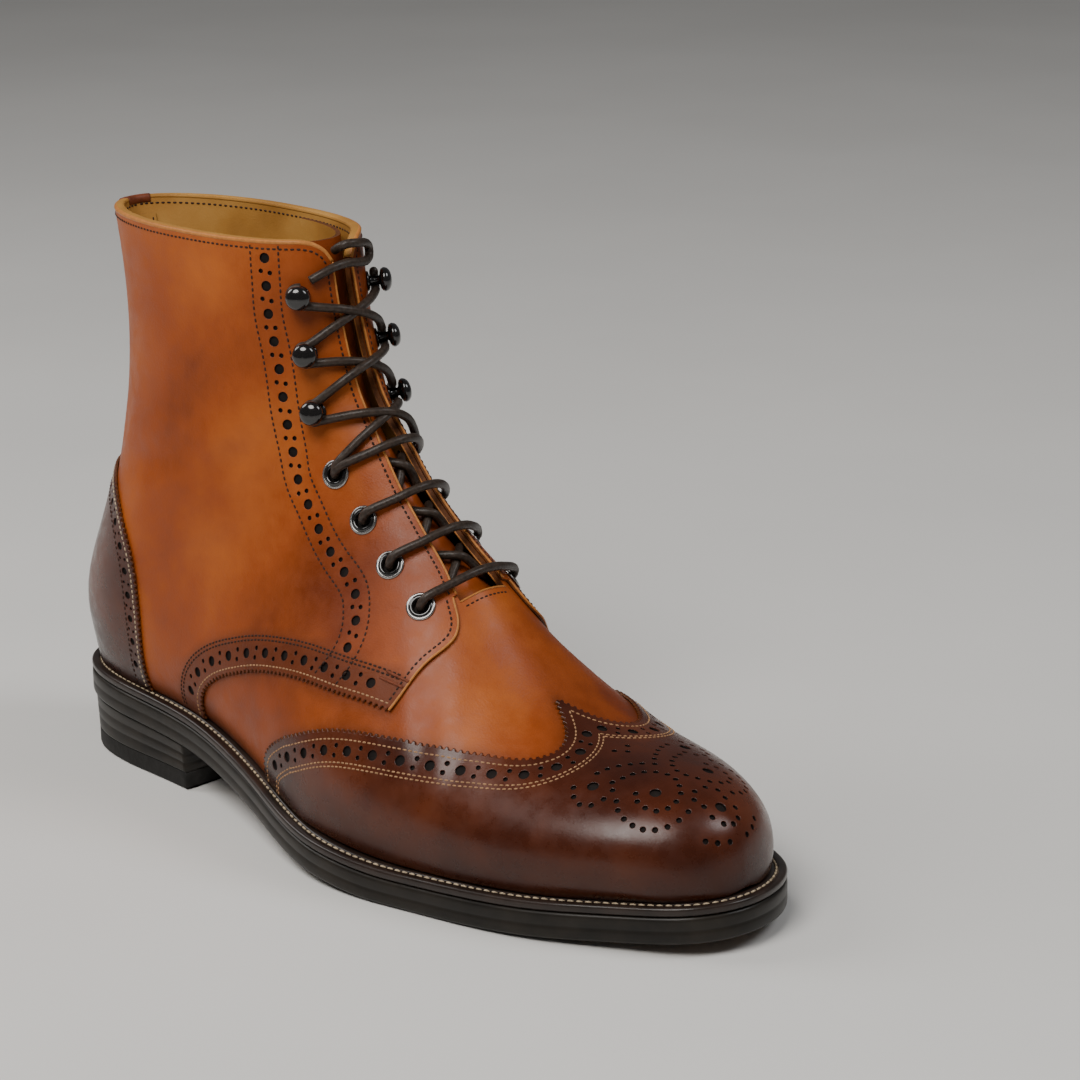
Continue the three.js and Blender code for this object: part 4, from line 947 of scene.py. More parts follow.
bars = []
for k in range(EYELETS):
    left, right = spots[k][1], spots[k][-1]
    middle = across(left.row, left.y, right.row, right.y, LACE_OUTSIDE, [0.25, 0.37, 0.5, 0.63, 0.75])
    bars.append([*out_of(left), *middle, *out_of(right)[::-1]])
runs = []
for k in range(EYELETS - 1):
    for side in (-1, 1):
        low, high = spots[k][side], spots[k + 1][-side]
        rise = 0.0 if side < 0 else CROSSING_RISE
        drop = lambda s, rise=rise: LACE_INSIDE + rise * max(0.0, 1 - ((s - 0.5) / 0.22)**2)
        runs.append([low.at(0.5, 0, -1.7), *into(low, 1)[::-1],
                     *across(low.row, low.y * 0.72, high.row, high.y * 0.72, drop, CROSSING_STOPS),
                     *into(high, -1), high.at(0.5, 0, -1.7)])


def round_hook(spot):
    """The way of the lace round a hook's shank."""
    reach = HOOK_SHANK + LACE_CLEAR + LACE_RADIUS
    return [spot.at(reach * math.cos(a), reach * math.sin(a), LACE_ON_HOOK)
            for a in np.radians([-105, -70, -35, 0, 35, 70, 105])]


strands = []
for side in (-1, 1):
    before, hand = spots[EYELETS - 1], side
    start = before[side]
    points = [start.at(-0.2, 0.1, RIM_TOP - 0.6), start.at(-1.6, 0.4, RIM_TOP + 1.3),
              start.at(-3, 1.2, LACE_ON_RIM)]
    for here in spots[EYELETS:]:
        lift = LACE_OUTSIDE + (0.9 if side > 0 else -0.4)
        bow = lambda s, top=lift: LACE_OUTSIDE + (top - LACE_OUTSIDE) * math.sin(math.pi * s)
        points += across(before[hand].row + 0.25, before[hand].y, here[-hand].row - 0.25, here[-hand].y, bow,
                         CROSSING_STOPS)
        hand = -hand
        points += round_hook(here[hand])
        before = here
    strands.append(points)
put_tubes("lace_bars", [catmull(b, 7) for b in bars[:-1] + runs], LACE_RADIUS, CORD,
          ["lace_bar_1", "lace_bar_2", "lace_bar_3"])
put_tubes("lace_strands", [catmull(b, 6) for b in [bars[-1], *strands]], LACE_RADIUS, CORD,
          ["lace_crossing"])


# Sole
def loop_at(inset, height, last=math.pi, count=180):
    """A loop of the outline, from the heel to the angle last and back."""
    u = np.linspace(0, last, count + 1)
    whole = last == math.pi
    x, y = rim(u, -1, inset)
    lateral = np.stack([x, -y, height(x)], -1)
    x, y = rim(u, 1, inset)
    medial = np.stack([x, y, height(x)], -1)
    return np.concatenate([lateral, medial[1:-1][::-1] if whole else medial[1:][::-1]])


def stacked(name, loops, used, ring=False, replaced=(), cap_kinds=(0, 0)):
    """A body from loops, closed to a ring or by strips across its first and last loops."""
    size = len(loops[0])
    verts, faces, kind = np.concatenate(loops), [], []
    bands = len(loops) if ring else len(loops) - 1
    for k in range(bands):
        a, b = k * size, (k + 1) % len(loops) * size
        for i in range(size):
            j = (i + 1) % size
            faces.append((a + i, b + i, b + j, a + j))
            kind.append(0)
    if not ring:
        low = (len(loops) - 1) * size
        for i in range(size // 2 + 1):
            j, next_j = (size - i) % size, size - i - 1
            if i + 1 > next_j:
                break
            strip = [i, i + 1, next_j, j]
            strip = [s for n, s in enumerate(strip) if s not in strip[:n]]
            if len(strip) > 2:
                faces += [tuple(strip), tuple(low + s for s in strip[::-1])]
                kind += list(cap_kinds)
    put(name, verts, faces, used, kind, replaced=replaced)


# Welt
WELT_PROFILE = [(11, 0), (6.0, 0), (4.5, 0.03), (4.3, -0.05), (4.15, -0.3), (2.85, -0.3), (2.7, -0.05),
                (2.5, 0.03), (1.1, 0.02), (0.55, -0.1), (0.2, -0.4), (0.03, -0.85), (0, -1.4), (0.08, -2.1),
                (0.3, -2.6), (0.7, -2.95), (1.3, -3.0), (11, -3.0)]
stacked("welt_strip", [loop_at(inset, lambda x, h=h: welt_top(x) + h) for inset, h in WELT_PROFILE], [WELT],
        ring=True, replaced=["welt"])


# Outsole
def sole_top(x):
    return welt_top(x) - WELT_THICKNESS - GAP


def sole_bottom(x):
    return np.maximum(0, welt_top(x) - BALL_STACK - GAP)


def between(share):
    """Height in the sole at a share of the way down."""
    return lambda x: sole_top(x) + share * (sole_bottom(x) - sole_top(x))


outsole = [loop_at(1.9, lambda x: sole_top(x) + 0.25), loop_at(1.2, lambda x: sole_top(x) + 0.2),
           loop_at(0.5, lambda x: sole_top(x) - 0.15), loop_at(0.08, lambda x: sole_top(x) - 0.7)]
for share, inset in ((0.2, 0), (0.45, 0.02), (0.49, 0.28), (0.53, 0.02), (0.75, 0), (0.88, 0.1)):
    outsole.append(loop_at(inset, between(share)))
outsole += [loop_at(0.45, lambda x: sole_bottom(x) + 0.35), loop_at(1.1, sole_bottom),
            loop_at(3.5, sole_bottom)]
stacked("outsole_edge", outsole, [SOLE, SOLE_UNDER], replaced=["outsole"], cap_kinds=(0, 1))

# Heel
breast = math.acos(1 - 2 * BREAST_AT / SOLE_LENGTH)


def heel_height(share):
    """Height in the heel between the sole and the top lift."""
    def height(x):
        top = sole_bottom(x) - GAP
        return top + share * (TOP_LIFT + 0.1 - top)
    return height


levels = [0.0]
for k in range(HEEL_LIFTS):
    a, b = k / HEEL_LIFTS, (k + 1) / HEEL_LIFTS
    levels += [a + 0.02, a + 0.06, b - 0.06, b - 0.02]
levels.append(1.0)
heel_loops = []
for k, share in enumerate(levels):
    groove = 0.35 if k in (0, len(levels) - 1) or k % 4 in (0, 1) and 1 < k < len(levels) - 2 else 0.0
    heel_loops.append(loop_at(1.0 + 0.6 * share + groove, heel_height(share), breast, 70))
stacked("heel_lifts", heel_loops, [SOLE], replaced=["heel_stack"])
stacked("heel_top_lift", [loop_at(i, lambda x, h=h: 0 * x + h, breast, 70) for i, h in
                          ((1.9, 6), (1.65, 5.8), (1.6, 5.4), (1.6, 0.5), (1.75, 0.1), (2.2, 0), (5, 0))],
        [RUBBER], replaced=["top_lift"])

# Welt stitches
welt_rows = []
for side in (-1, 1):
    u = np.linspace(0.0, math.pi, 1500)
    x, y = rim(u, side, 3.5)
    path = np.stack([x, side * y, welt_top(x) - 0.3], -1)
    far = lengths(path)
    d = marks(2.9, far[-1])
    p = np.stack([np.interp(d, far, path[:, i]) for i in range(3)], -1)
    q = np.stack([np.interp(d + 0.5, far, path[:, i]) for i in range(3)], -1)
    welt_rows.append((p, unit(q - p), np.tile((0.0, 0.0, 1.0), (len(p), 1))))
stitch_mesh("welt_stitches", welt_rows, PALE_THREAD, 2.5, 0.95, 0.75)


# Upper's wall
def shell(name, points, normals, faces, low, high, used, replaced=(), shade=None):
    """A sheet between two heights over the points; materials are outside, inside and edge."""
    n = len(points)
    verts = np.concatenate([points + normals * high, points + normals * low])
    out, kinds, edges = [], [], {}
    for f in faces:
        out += [tuple(f), tuple(i + n for i in f[::-1])]
        kinds += [0, 1]
        for a, b in zip(f, (*f[1:], f[0])):
            edges[(a, b)] = True
    for a, b in edges:
        if (b, a) not in edges:
            out.append((b, a, a + n, b + n))
            kinds.append(2)
    piece = put(name, verts, out, used, kinds, replaced=replaced,
                shade=None if shade is None else np.concatenate([shade, shade]))
    piece.data.set_sharp_from_angle(angle=math.radians(40))


def near(points, lines, reach):
    """How near points lie to a set of points: 1 on them, 0 at the reach."""
    best = np.full(len(points), 1e9)
    for chunk in range(0, len(lines), 300):
        gap = np.linalg.norm(points[:, None] - lines[None, chunk:chunk + 300], axis=-1).min(1)
        best = np.minimum(best, gap)
    return np.clip(1 - best / reach, 0, 1)


def over_welt(points, reach):
    """How near points lie to the welt's top: 1 on it, 0 at the reach."""
    return np.clip(1 - (points[:, 2] - welt_top(points[:, 0])) / reach, 0, 1)


BODY_COLUMNS = 56


def body_grid():
    """(row, v) points and faces of the vamp and shaft, open at the throat."""
    levels = np.unique(np.concatenate([[0, 0.02, 0.06, 0.12, 0.2, 0.3, 0.45], np.arange(0.6, 18.01, 0.15),
                                       [THROAT_ROW, HEEL_ROW - 0.06, HEEL_ROW, COLLAR_ROW]]))
    columns = BODY_COLUMNS
    points, index = [], []
    for level in levels:
        line = {}
        for side in (-1, 1):
            first = float(facing_turn(np.array(max(level, THROAT_ROW)), side))
            ease = min(1.0, level / 5)
            start = first * ease + (1 - ease) / columns
            last = float(foot_turn(np.array(level), side))
            line[side] = start + (last - start) * np.arange(columns) / (columns - 1)
        vs = np.concatenate([-line[-1][::-1], -line[-1][0] * np.array([0.67, 0.33]), [0],
                             line[1][0] * np.array([0.33, 0.67]), line[1]])
        index.append(np.arange(len(vs)) + sum(len(p) for p in points))
        points.append(np.stack([trimmed(level + 0 * vs, np.abs(vs)), vs], -1))
    rv = np.concatenate(points)
    index = np.array(index)
    index[0, :] = index[0, 0]
    seam = levels >= HEEL_ROW
    index[seam, -1] = index[seam, 0]
    faces = []
    for i in range(len(levels) - 1):
        for j in range(index.shape[1] - 1):
            if columns - 2 < j < columns + 5 and levels[i] > THROAT_ROW - 1e-6:
                continue
            f = [index[i, j], index[i, j + 1], index[i + 1, j + 1], index[i + 1, j]]
            faces.append([a for k, a in enumerate(f) if a not in f[:k]])
    used = np.unique(np.concatenate([np.array(f) for f in faces]))
    order = -np.ones(len(rv), int)
    order[used] = np.arange(len(used))
    return rv[used], [[order[i] for i in f] for f in faces]


def make_body():
    """The vamp and shaft in one sheet, with the lining inside."""
    rv, faces = body_grid()
    place = base(*rv.T)
    place = place + normal(*rv.T) * relief(place)[:, None]
    normals = np.zeros_like(place)
    for f in faces:
        n = np.cross(place[f[1]] - place[f[0]], place[f[2]] - place[f[0]])
        if len(f) == 4:
            n = n + np.cross(place[f[2]] - place[f[0]], place[f[3]] - place[f[0]])
        for i in f:
            normals[i] += n
    normals[np.abs(place[:, 1]) < 1e-3, 1] = 0
    normals = unit(normals)
    # Painted shade: the vamp darkens near the welt and beside the cap's and quarters' edges, where shade
    # falls; none above 150 mm.
    shade = 0.75 * over_welt(place, 9)**1.5
    edge = np.concatenate([base(*l.rv.T, l.back) for l in edge_lines])
    shade = np.maximum(shade, 0.5 * near(place, edge[::12], 7)**2)
    shell("upper_body", place, normals, faces, VAMP_LOW, VAMP_TOP, [TAN, LINING, RAW], ["upper"],
          np.where(place[:, 2] > 150, 0.0, shade))


# Lines of the pattern
wing_line = {side: Line(on_side(WING_EDGE, side)) for side in (-1, 1)}
front_line = {side: Line(on_side(QUARTER_FRONT[::-1], side)) for side in (-1, 1)}
low_line = {side: Line(on_side(QUARTER_LOW[:-1] + [(9.52, 0.999)], side)) for side in (-1, 1)}
band_line = {side: Line(on_side(BAND_LINE, side)) for side in (-1, 1)}
edge_lines = [*wing_line.values(), *low_line.values()]


def facing_edge(side):
    """Facing edge from the collar down to the throat, and the collar edge from the back to the facing."""
    levels = np.linspace(8.10, 17.9, 500)
    turns = facing_turn(levels, side)
    top = np.argmax(levels > collar_row(turns))
    facing = np.stack([levels[:top], turns[:top]], -1)[::-1]
    turn = np.concatenate([np.linspace(0.999, 0.2, 60), np.linspace(0.19, turns[top], 30)])
    collar = np.stack([collar_row(turn) - 0.004, turn], -1)
    return facing, collar


facing_lines, collar_lines = {}, {}
for side in (-1, 1):
    facing, collar = facing_edge(side)
    joined = facing[::12] if (len(facing) - 1) % 12 == 0 else np.concatenate([facing[::12], facing[-1:]])
    facing_lines[side] = Line(turned_to(joined[::-1], side)[::-1])
    collar_lines[side] = Line(turned_to(collar[::-1], side)[::-1])
make_body()

# Medallion on one half of the toe: (x, y) in millimetres
MEDALLION_BIG = [(296, 0), (280, 12), (262, 21)]
MEDALLION_SMALL = [
    (257, 24.5), (259.5, 27), (263, 28), (266.5, 26.5), (268.5, 23), (268.5, 19), (266, 16.5),
    (275.5, 16), (278, 18), (281.5, 18.2), (284.8, 16.8), (286.8, 13.8), (287, 10.2),
    (272.5, 21.5), (275, 23.5), (278.3, 24.3), (281.6, 24), (284.8, 22.8), (287.8, 20.6), (290.2, 17.6),
    (291.6, 14), (291.8, 10), (293.5, 4.8), (297.2, 5.2), (300, 3.2), (301, 0), (299.6, 11), (301.6, 7.8),
    (303, 3.8),
    (259, 16), (260, 12.4), (261.6, 9), (263.6, 5.8), (265.8, 2.8), (268.6, 0),
    (267.2, 13), (268.2, 9.6), (270, 6.4), (272.6, 3.8), (276, 2.2), (279.6, 2.4), (282.8, 4.2),
    (285.6, 6.6), (254, 3), (257, 0), (290, 5.4), (287.5, 2.4)]


def on_top(x, y):
    """(row, v) of the point of the toe's surface over (x, y)."""
    row, v = 3.0, math.copysign(0.15, y) if y else 0.0
    for _ in range(14):
        p = base(np.array(row), np.array(v))
        dr, dv = (a[:2] for a in slopes(np.array(row), np.array(v), False, base))
        step = np.linalg.solve(np.stack([dr, dv], -1), np.array([x, y]) - p[:2])
        row = float(np.clip(row + np.clip(step[0], -1, 1), 0.2, 6))
        v = float(v + np.clip(step[1], -0.2, 0.2))
    return np.array([row, v])


medallion = [(on_top(x, s * y), radius)
             for points, radius in ((MEDALLION_BIG, 1.85), (MEDALLION_SMALL, 0.92))
             for x, y in points for s in ((-1, 1) if y else (1,))]


def held(rv):
    """Points kept over the row's end on the welt."""
    for side in (-1, 1):
        far = side * rv[:, 1] > 0
        rv[far, 1] = side * np.minimum(np.abs(rv[far, 1]), row_end(rv[far, 0], side))
    return rv


def ends(side, near_middle, far_out):
    """Start and end of a side's line, which runs from the left seen from above."""
    return (near_middle, far_out) if side > 0 else (far_out, near_middle)


def make_cap():
    edge = np.concatenate([pinked(wing_line[-1])[:-1], [WING_EDGE[0]], pinked(wing_line[1])[1:]])
    rows_down = np.linspace(8.15, 0.03, 90)
    last = float(foot_turn(np.array(0.03), 1)) * 0.95
    bottom = [np.stack([rows_down, row_end(rows_down, 1)], -1),
              [[0.03, v] for v in np.linspace(last, -last, 19)],
              np.stack([rows_down, -row_end(rows_down, -1)], -1)[::-1]]
    loop = held(np.concatenate([edge, *bottom]))
    holes = []
    for side in (-1, 1):
        middle = wing_line[side].beside(-6.1, [wing_line[-side]])
        holes += hole_row(middle, HOLE_PITCH, *HOLE_RADII, *ends(side, 1, 6))
    # Painted shade: the cap's tint darkens it towards the welt.
    panel("wing_cap_leather", loop, holes + medallion, SKIN_LOW, SKIN_TOP, [BROWN, HOLE_SHADE, RAW],
          tint=lambda place: 0.75 * over_welt(place, 26)**1.2, replaced=["wing_cap"])


def quarter_loop(side):
    low = pinked(low_line[side])
    front, facing, collar = (line[side].at(np.linspace(0, line[side].length, count)) for line, count in (
        (front_line, 60), (facing_lines, 130), (collar_lines, 110)))
    levels = np.concatenate([np.linspace(9.56, 11.999, 60), np.linspace(12.001, 17.95, 90)])
    seam = np.stack([levels, side * row_end(levels, side)], -1)
    order = [low, front, facing, collar, seam[::-1]] if side < 0 else [front, low, seam, collar, facing]
    loop = held(np.concatenate(order))
    return loop[spaced(to_plane(loop), 0.15)]


def make_quarter(side):
    """A quarter with its facing, its holes and the bores of its eyelets."""
    holes = hole_row(low_line[side].beside(6.6), HOLE_PITCH, *HOLE_RADII, start=5, end=5)
    holes += hole_row(band_line[side].beside(-5.1), BAND_PITCH, *HOLE_RADII, *ends(side, 1.0, 13))
    holes += [(level[side].rv, EYELET_HOLE) for level in spots[:EYELETS]]
    low_points = base(*low_line[side].rv.T)

    # The darker band along the quarter's lower edge is its real burnished colour; the darkening near the
    # welt is painted shade.
    def tint(place):
        band = np.clip((near(place, low_points[::8], 22) - 0.30) * 4.5, 0, 1) * 0.62
        return np.maximum(band, 0.8 * over_welt(place, 10)**1.5)
    name = "quarter_" + SIDES[side]
    panel(name + "_leather", quarter_loop(side), holes, SKIN_LOW, SKIN_TOP, [TAN, HOLE_SHADE, RAW], tint=tint,
          replaced=[name])


make_cap()
make_quarter(-1)
make_quarter(1)


# Counter
def invert_side(points, side):
    """(row, turn) of side-view points (x, z) on a side of the heel."""
    r, share = np.linspace(9.6, 16.6, 701), np.linspace(0.35, 0.9995, 600)
    t = share[None, :] * foot_turn(r, side)[:, None]
    grid = base(r[:, None], side * t)[..., [0, 2]]
    found = []
    for p in points:
        i, j = np.unravel_index(((grid - p)**2).sum(-1).argmin(), grid.shape[:2])
        found.append((r[i], t[i, j]))
    return np.array(found)


def counter_line(side):
    """The counter's edge on a side, from the welt up to the back seam, or down again."""
    edge = np.array(COUNTER_EDGE) * (SOLE_LENGTH, UPPER_HEIGHT) + (0, HEEL_SEAT)
    far = lengths(edge)
    d = np.linspace(0, far[-1], 170)
    curve = np.stack([smooth(far, edge[:, i])(d) for i in (0, 1)], -1)
    levels = np.linspace(9.6, 12, 200)
    seat = base(levels, side * row_end(levels, side))
    above = curve[curve[:, 1] > np.interp(curve[:, 0], seat[::-1, 0], seat[::-1, 2]) + 0.4]
    rt = invert_side(above, side)
    soft = rt[spaced(base(rt[:, 0], side * rt[:, 1]), 0.35)]
    for _ in range(2):
        soft[1:-1] = (soft[:-2] + 2 * soft[1:-1] + soft[2:]) / 4
    rv = np.stack([soft[:, 0], side * (1 - soft[:, 1])], -1)
    rv[-1] = (rv[-1, 0], 0)
    return Line(rv if side < 0 else rv[::-1], back=True, raw=True)


counter_lines = {side: counter_line(side) for side in (-1, 1)}


def make_counter():
    edge = np.concatenate([pinked(counter_lines[-1], 2.0, 0.8), pinked(counter_lines[1], 2.0, 0.8)])
    bottom = {}
    for side in (-1, 1):
        low = counter_lines[side].rv[0 if side < 0 else -1, 0]
        levels = np.linspace(low - 0.02, 11.99, 50)
        bottom[side] = np.stack([levels, side * (1 - row_end(levels, side))], -1)
    loop = np.concatenate([edge, bottom[1], bottom[-1][::-1]])
    holes = []
    for side in (-1, 1):
        holes += hole_row(counter_lines[side].beside(5.0), 8.4, 1.3, 0.55, start=5, end=5, pair=1.2)
    # Painted shade: the counter's tint darkens it towards the welt.
    panel("counter_leather", loop, holes, COUNTER_LOW, COUNTER_TOP, [BROWN, HOLE_SHADE, RAW], back=True,
          tint=lambda place: 0.8 * over_welt(place, 30)**1.2, replaced=["heel_counter"],
          hole_depth=0.7)


make_counter()

# Stitches on the upper
dark, tan, pale = [], [], []
for side in (-1, 1):
    wing, low, band = wing_line[side], low_line[side], band_line[side]
    for aside in (-2.5, -10.0, -11.4):
        tan.append(stitch_row(wing.beside(aside, [wing_line[-side]]), SKIN_TOP, 1.9, 0.4, 0.4))
    tan.append(stitch_row(low.beside(2.4), SKIN_TOP, 1.9))
    dark += [stitch_row(low.beside(aside), SKIN_TOP, 1.9) for aside in (10.9, 12.3)]
    dark.append(stitch_row(band, SKIN_TOP, 2.05, *ends(side, 1.0, 2.0)))
    dark.append(stitch_row(band.beside(-10.2), SKIN_TOP, 2.05, *ends(side, 1.0, 7.0)))
    dark.append(stitch_row(front_line[side].beside(2.4), SKIN_TOP, 2.0, 2.5, 0.5))
    dark.append(stitch_row(facing_lines[side].beside(2.4), SKIN_TOP, 2.0, 0.5, 2.0))
    dark.append(stitch_row(collar_lines[side].beside(2.6), SKIN_TOP, 2.0, 0.5, 0.5))
    dark.append(stitch_row(collar_lines[side].beside(2.8), VAMP_LOW, 2.3, 0.5, 0.5, turned=True))
    pale.append(stitch_row(counter_lines[side].beside(2.0), COUNTER_TOP, 1.9, 1.0, 1.0))
    dark.append(stitch_row(counter_lines[side].beside(7.2), COUNTER_TOP, 2.0, 1.0, 1.0))
stitch_mesh("upper_stitches", dark, DARK_THREAD, 1.5, 0.85, 0.5)
stitch_mesh("edge_stitches", tan, TAN_THREAD, 1.45, 0.7, 0.45)
stitch_mesh("counter_stitches", pale, PALE_THREAD, 1.45, 0.75, 0.48)

# Painted highlights: raised tubes along the facings' edges and the quarters' fronts, coloured bright to
# stand for the light on their rounded edges
edge_highlights = []
for side in (-1, 1):
    facing, front = facing_lines[side], front_line[side]
    for line, lift in ((facing, SKIN_TOP - 0.15), (facing, VAMP_LOW + 0.3), (front, SKIN_TOP - 0.15)):
        edge_highlights.append(lifted(line.at(np.linspace(0.3, line.length - 0.3, 90), 0.3), lift))
put_tubes("painted_edge_highlights", edge_highlights, 0.42, EDGE, sides=8)

# Seam of the vamp's top edge at the throat
first = {side: float(facing_turn(np.array(THROAT_ROW), side)) for side in (-1, 1)}
edge_turns = np.linspace(-first[-1], first[1], 30)
rv = np.stack([0 * edge_turns + THROAT_ROW - 0.01, edge_turns], -1)
put_tubes("throat_bead", [lifted(rv, VAMP_TOP)], 0.35, EDGE, sides=8)
throat_seam = Line(np.stack([0 * edge_turns + THROAT_ROW - 0.11, edge_turns], -1), raw=True)
stitch_mesh("throat_stitches", [stitch_row(throat_seam, VAMP_TOP, 1.9, 0.8, 0.8)], DARK_THREAD, 1.4, 0.7,
            0.45)


# Collar binding, folded over the top edge
def sweep(name, frames, profile, used, kinds=None):
    """Frames are (point, aside, up); the closed profile's points are offsets along aside and up."""
    aside, up = np.array(profile)[:, :1], np.array(profile)[:, 1:]
    verts = np.concatenate([p + aside * a + up * u for p, a, u in frames])
    kind = (kinds or [0] * len(profile)) * (len(frames) - 1) + [0, 0]
    put(name, verts, ring_faces(len(frames), len(profile)), used, kind)


BINDING_COUNT, TAB_REACH = 130, 6.5
BINDING_PROFILE = [(0.95, -0.9), (1.06, -0.5), (1.0, 0.0), (0.7, 0.3), (0.1, 0.42), (-0.8, 0.45),
                   (-1.7, 0.4), (-2.25, 0.2), (-2.5, -0.2), (-2.54, -0.6), (-2.4, -1.0), (0.6, -1.1)]
BINDING_KINDS = [0, 0, 0, 0, 1, 1, 1, 1, 1, 1, 1, 0]
TAB_PROFILE = [(1.0, -3.2), (1.25, -3.0), (1.4, -0.8), (1.3, 0.1), (0.9, 0.6), (-0.8, 0.7), (-2.2, 0.55),
               (-2.65, 0.1), (-2.8, -0.8), (-2.7, -2.2), (-2.45, -2.4), (-2.4, -2.0), (-2.4, -0.4),
               (0.9, -0.4), (0.9, -2.6)]


def make_binding():
    """From the lateral facing round the back to the medial one."""
    parts = []
    for side in (-1, 1):
        line = collar_lines[side]
        rv = line.at(np.linspace(0.0, line.length, BINDING_COUNT))
        p, n = base(*rv.T), normal(*rv.T)
        parts.append((p, n, unit(np.cross(unit(np.gradient(p, axis=0)), n))))
    # the lateral line runs to the back, the medial one from it
    p, n, up = (np.concatenate([a[:-1], b[1:]]) for a, b in zip(*parts))
    for _ in range(3):
        up[1:-1] = unit(up[:-2] + 2 * up[1:-1] + up[2:])
    run = list(zip(p, n, up))
    sweep("collar_binding", run, BINDING_PROFILE, [EDGE, LINING], kinds=BINDING_KINDS)
    far = np.hypot(p[:, 0] - p[BINDING_COUNT - 1, 0], p[:, 1])
    tab = [run[i] for i in np.flatnonzero(far < TAB_REACH)]
    sweep("collar_tab", tab, TAB_PROFILE, [TAB])


make_binding()


# Tongue
TONGUE_ROWS, TONGUE_FREE = (7.1, 17.9), 8.0  # its first and last rows, and the row where it comes free
TONGUE_HALF, TONGUE_FOOT = 25, 0.78          # half its width at the top, and the share of it at the foot
TONGUE_DEPTHS = (-3.2, -6.0)


def make_tongue():
    """The tongue under the facings, with soft waves across its middle."""
    foot, top = TONGUE_ROWS
    shallow, deep = TONGUE_DEPTHS
    levels = np.linspace(foot, top, 130)
    shares = np.linspace(0, 1, 22)
    across = np.concatenate([-shares[::-1], shares[1:]])
    points, normals = [], []
    for level in levels:
        spread = TONGUE_HALF * (TONGUE_FOOT + (1 - TONGUE_FOOT) * (level - foot) / (top - foot))
        sunk = np.clip((level - foot) / (TONGUE_FREE - foot), 0, 1)
        depth = shallow + (deep - shallow) * sunk * sunk * (3 - 2 * sunk)
        turn = {s: turn_at_width(np.full(len(shares), level), s, shares * spread) for s in (-1, 1)}
        vs = np.concatenate([-turn[-1][::-1], turn[1][1:]])
        row = np.full(len(vs), level)
        n = normal(row, vs)
        wave = 0.5 * np.sin(level * 5.2 + 1.3 * np.sin(level * 1.7))
        pad = wave * np.exp(-(across / 0.35)**2) * (sunk > 0.9)
        points.append(base(row, vs) + n * (depth + 0.35 * pad)[:, None])
        normals.append(n)
    faces = grid_faces(len(levels), len(across))
    shell("tongue_leather", np.concatenate(points), np.concatenate(normals), faces, -1.6, 0.0,
          [TAN, LINING, RAW], ["tongue"])


make_tongue()


# Strip inside the back seam, and its stitches
def make_heel_strip():
    levels, columns = np.linspace(13.0, 17.75, 50), 13
    half = np.linspace(-1, 1, columns) * STRIP_SHARE
    r, v = np.meshgrid(levels, half, indexing="ij")
    r, v = r.ravel(), v.ravel()
    inner = VAMP_LOW - 0.9
    shell("heel_strip", base(r, v, True), normal(r, v, True), grid_faces(len(levels), columns), inner,
          VAMP_LOW - 0.1, [LINING, LINING, RAW])
    seams = [Line(np.stack([levels, 0 * levels + side * (STRIP_SHARE - 0.016)], -1), back=True, raw=True)
             for side in (-1, 1)]
    rows_of = [stitch_row(seam, inner, 2.3, turned=True) for seam in seams]
    stitch_mesh("strip_stitches", rows_of, DARK_THREAD, 1.5, 0.7, 0.5)


make_heel_strip()


# Eyelets and hooks
def lathe(spot, profile, kinds, sides=LATHE_SIDES):
    """A turned piece from (radius, height) points, with a material for each band."""
    ring = np.arange(sides) * 2 * np.pi / sides
    around = np.cos(ring)[:, None] * spot.away + np.sin(ring)[:, None] * np.cross(spot.out, spot.away)
    verts = [spot.point + spot.out * z + r * around for r, z in profile]
    return np.concatenate(verts), ring_faces(len(profile), sides, capped=False), np.repeat(kinds, sides)


EYELET_PROFILE = [(1.8, -2.6), (3.0, -2.6), (3.0, 0.85), (4.6, 0.86), (4.85, 1.0), (4.9, 1.2), (4.75, 1.42),
                  (4.4, 1.6), (4.1, 1.62), (4.0, 1.52), (3.85, 1.6), (3.5, 1.9), (3.1, 1.95), (2.75, 1.8),
                  (2.5, 1.5), (2.45, 1.1), (2.45, -1.8), (1.8, -2.6)]
EYELET_KINDS = [0, 0, 0, 1, 1, 1, 1, 1] + [0] * 9
HOOK_PROFILE = [(0.01, 0.8), (3.4, 0.85), (3.4, 1.35), (3.1, 1.6), (2.4, 1.72), (1.7, 1.9), (1.4, 2.3),
                (1.4, 4.9), (1.8, 5.25), (3.0, 5.45), (3.75, 5.9), (4.08, 6.6), (4.1, 7.1), (3.85, 7.85),
                (3.25, 8.5), (2.3, 9.0), (1.15, 9.25), (0.01, 9.3)]
HOOK_KINDS = [0] * (len(HOOK_PROFILE) - 1)
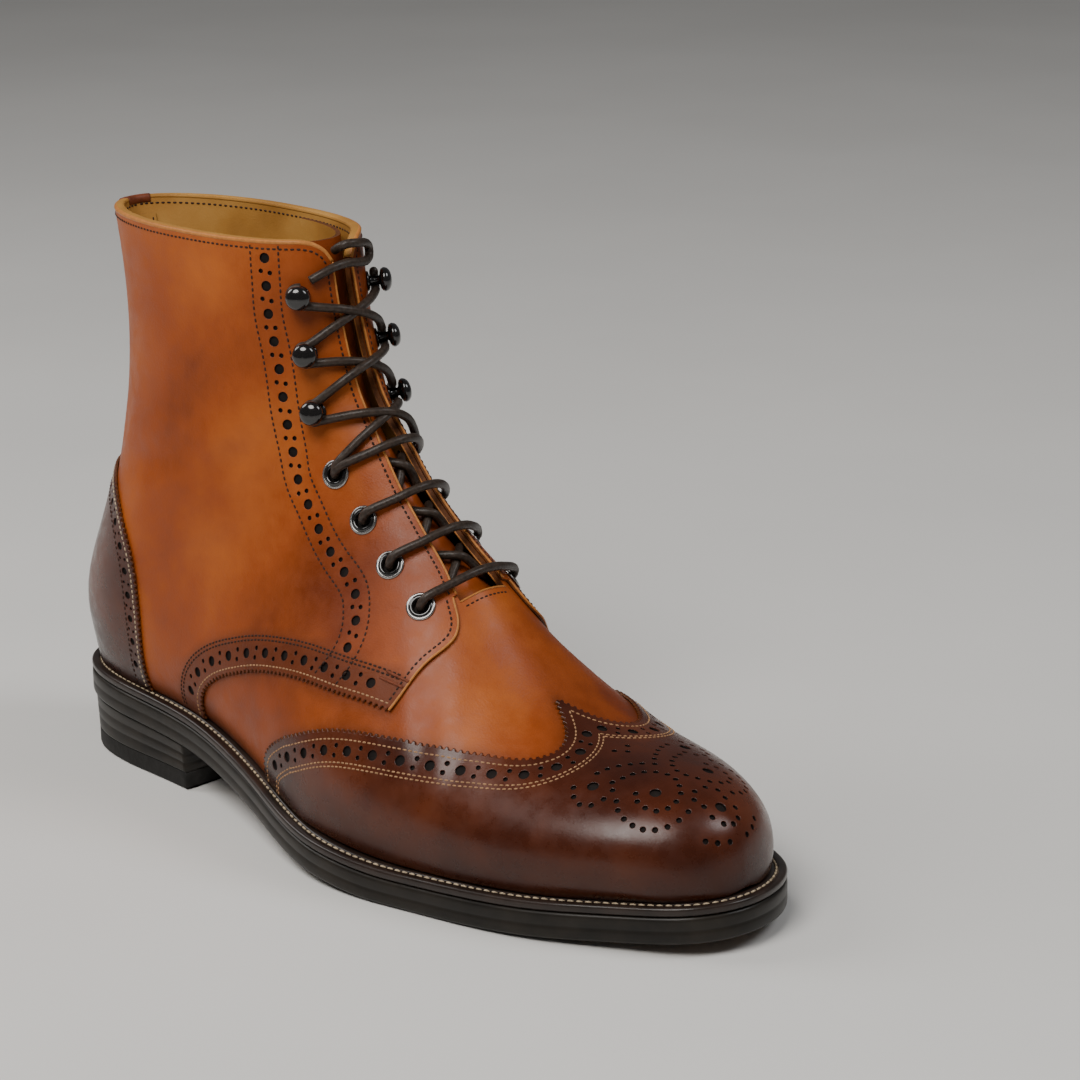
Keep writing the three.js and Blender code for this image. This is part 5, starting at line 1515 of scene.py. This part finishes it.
for sort, levels, profile, kinds in (("eyelet", spots[:EYELETS], EYELET_PROFILE, EYELET_KINDS),
                                     ("hook", spots[EYELETS:], HOOK_PROFILE, HOOK_KINDS)):
    for number, level in enumerate(levels, 1):
        for side in (-1, 1):
            verts, faces, kind = lathe(level[side], profile, kinds)
            label = f"{sort}_{SIDES[side]}_{number}"
            put("fine_" + label, verts, faces, [BLACK_METAL, RING_METAL], kind, replaced=[label])

# Two tacks at the quarter's front corner
tacks = []
for side in (-1, 1):
    for turn in (0.431, 0.455):
        rv = on_side([(row, turn + 0.01 * (row - 7.5)) for row in (7.47, 7.58, 7.69, 7.80)], side)
        rv = rv if side < 0 else rv[::-1]
        tacks.append(catmull(lifted(rv, SKIN_TOP + 0.12), 4))
put_tubes("corner_tacks", tacks, 0.5, TAB, sides=8)

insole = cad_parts["insole"]
insole.data.materials.clear()
insole.data.materials.append(LINING)

floor_mesh = bpy.data.meshes.new("floor")
floor_mesh.from_pydata([(x * FLOOR_HALF, y * FLOOR_HALF, -FLOOR_DROP)
                        for x, y in ((-1, -1), (1, -1), (1, 1), (-1, 1))], [], [(0, 1, 2, 3)])
floor_mesh.materials.append(material("floor", plain((0.72, 0.71, 0.69), 0.7, 0, 0, 0.02, 5.0)))
floor = bpy.data.objects.new("floor", floor_mesh)
bpy.context.scene.collection.objects.link(floor)


def light(name, place, target, size, power, colour=(1, 1, 1)):
    data = bpy.data.lights.new(name, "AREA")
    data.shape, data.size, data.energy, data.color = "DISK", size, power, colour
    lamp = bpy.data.objects.new(name, data)
    lamp.location = place
    lamp.rotation_euler = (Vector(target) - Vector(place)).to_track_quat("-Z", "Y").to_euler()
    bpy.context.scene.collection.objects.link(lamp)


light("key", (0.30, -0.95, 1.45), (0.02, 0, 0.08), 1.0, 25, (1.0, 0.97, 0.93))
light("side", (-1.1, -0.55, 1.1), (0, 0, 0.08), 0.8, 8, (1.0, 0.98, 0.96))
light("toe", (1.0, 0.6, 1.3), (0.05, 0, 0.05), 0.7, 8, (0.97, 0.98, 1.0))
world = bpy.data.worlds.new("studio")
bpy.context.scene.world = world
world.use_nodes = True
background = world.node_tree.nodes["Background"]
background.inputs["Color"].default_value = (0.80, 0.80, 0.80, 1)
background.inputs["Strength"].default_value = 0.15
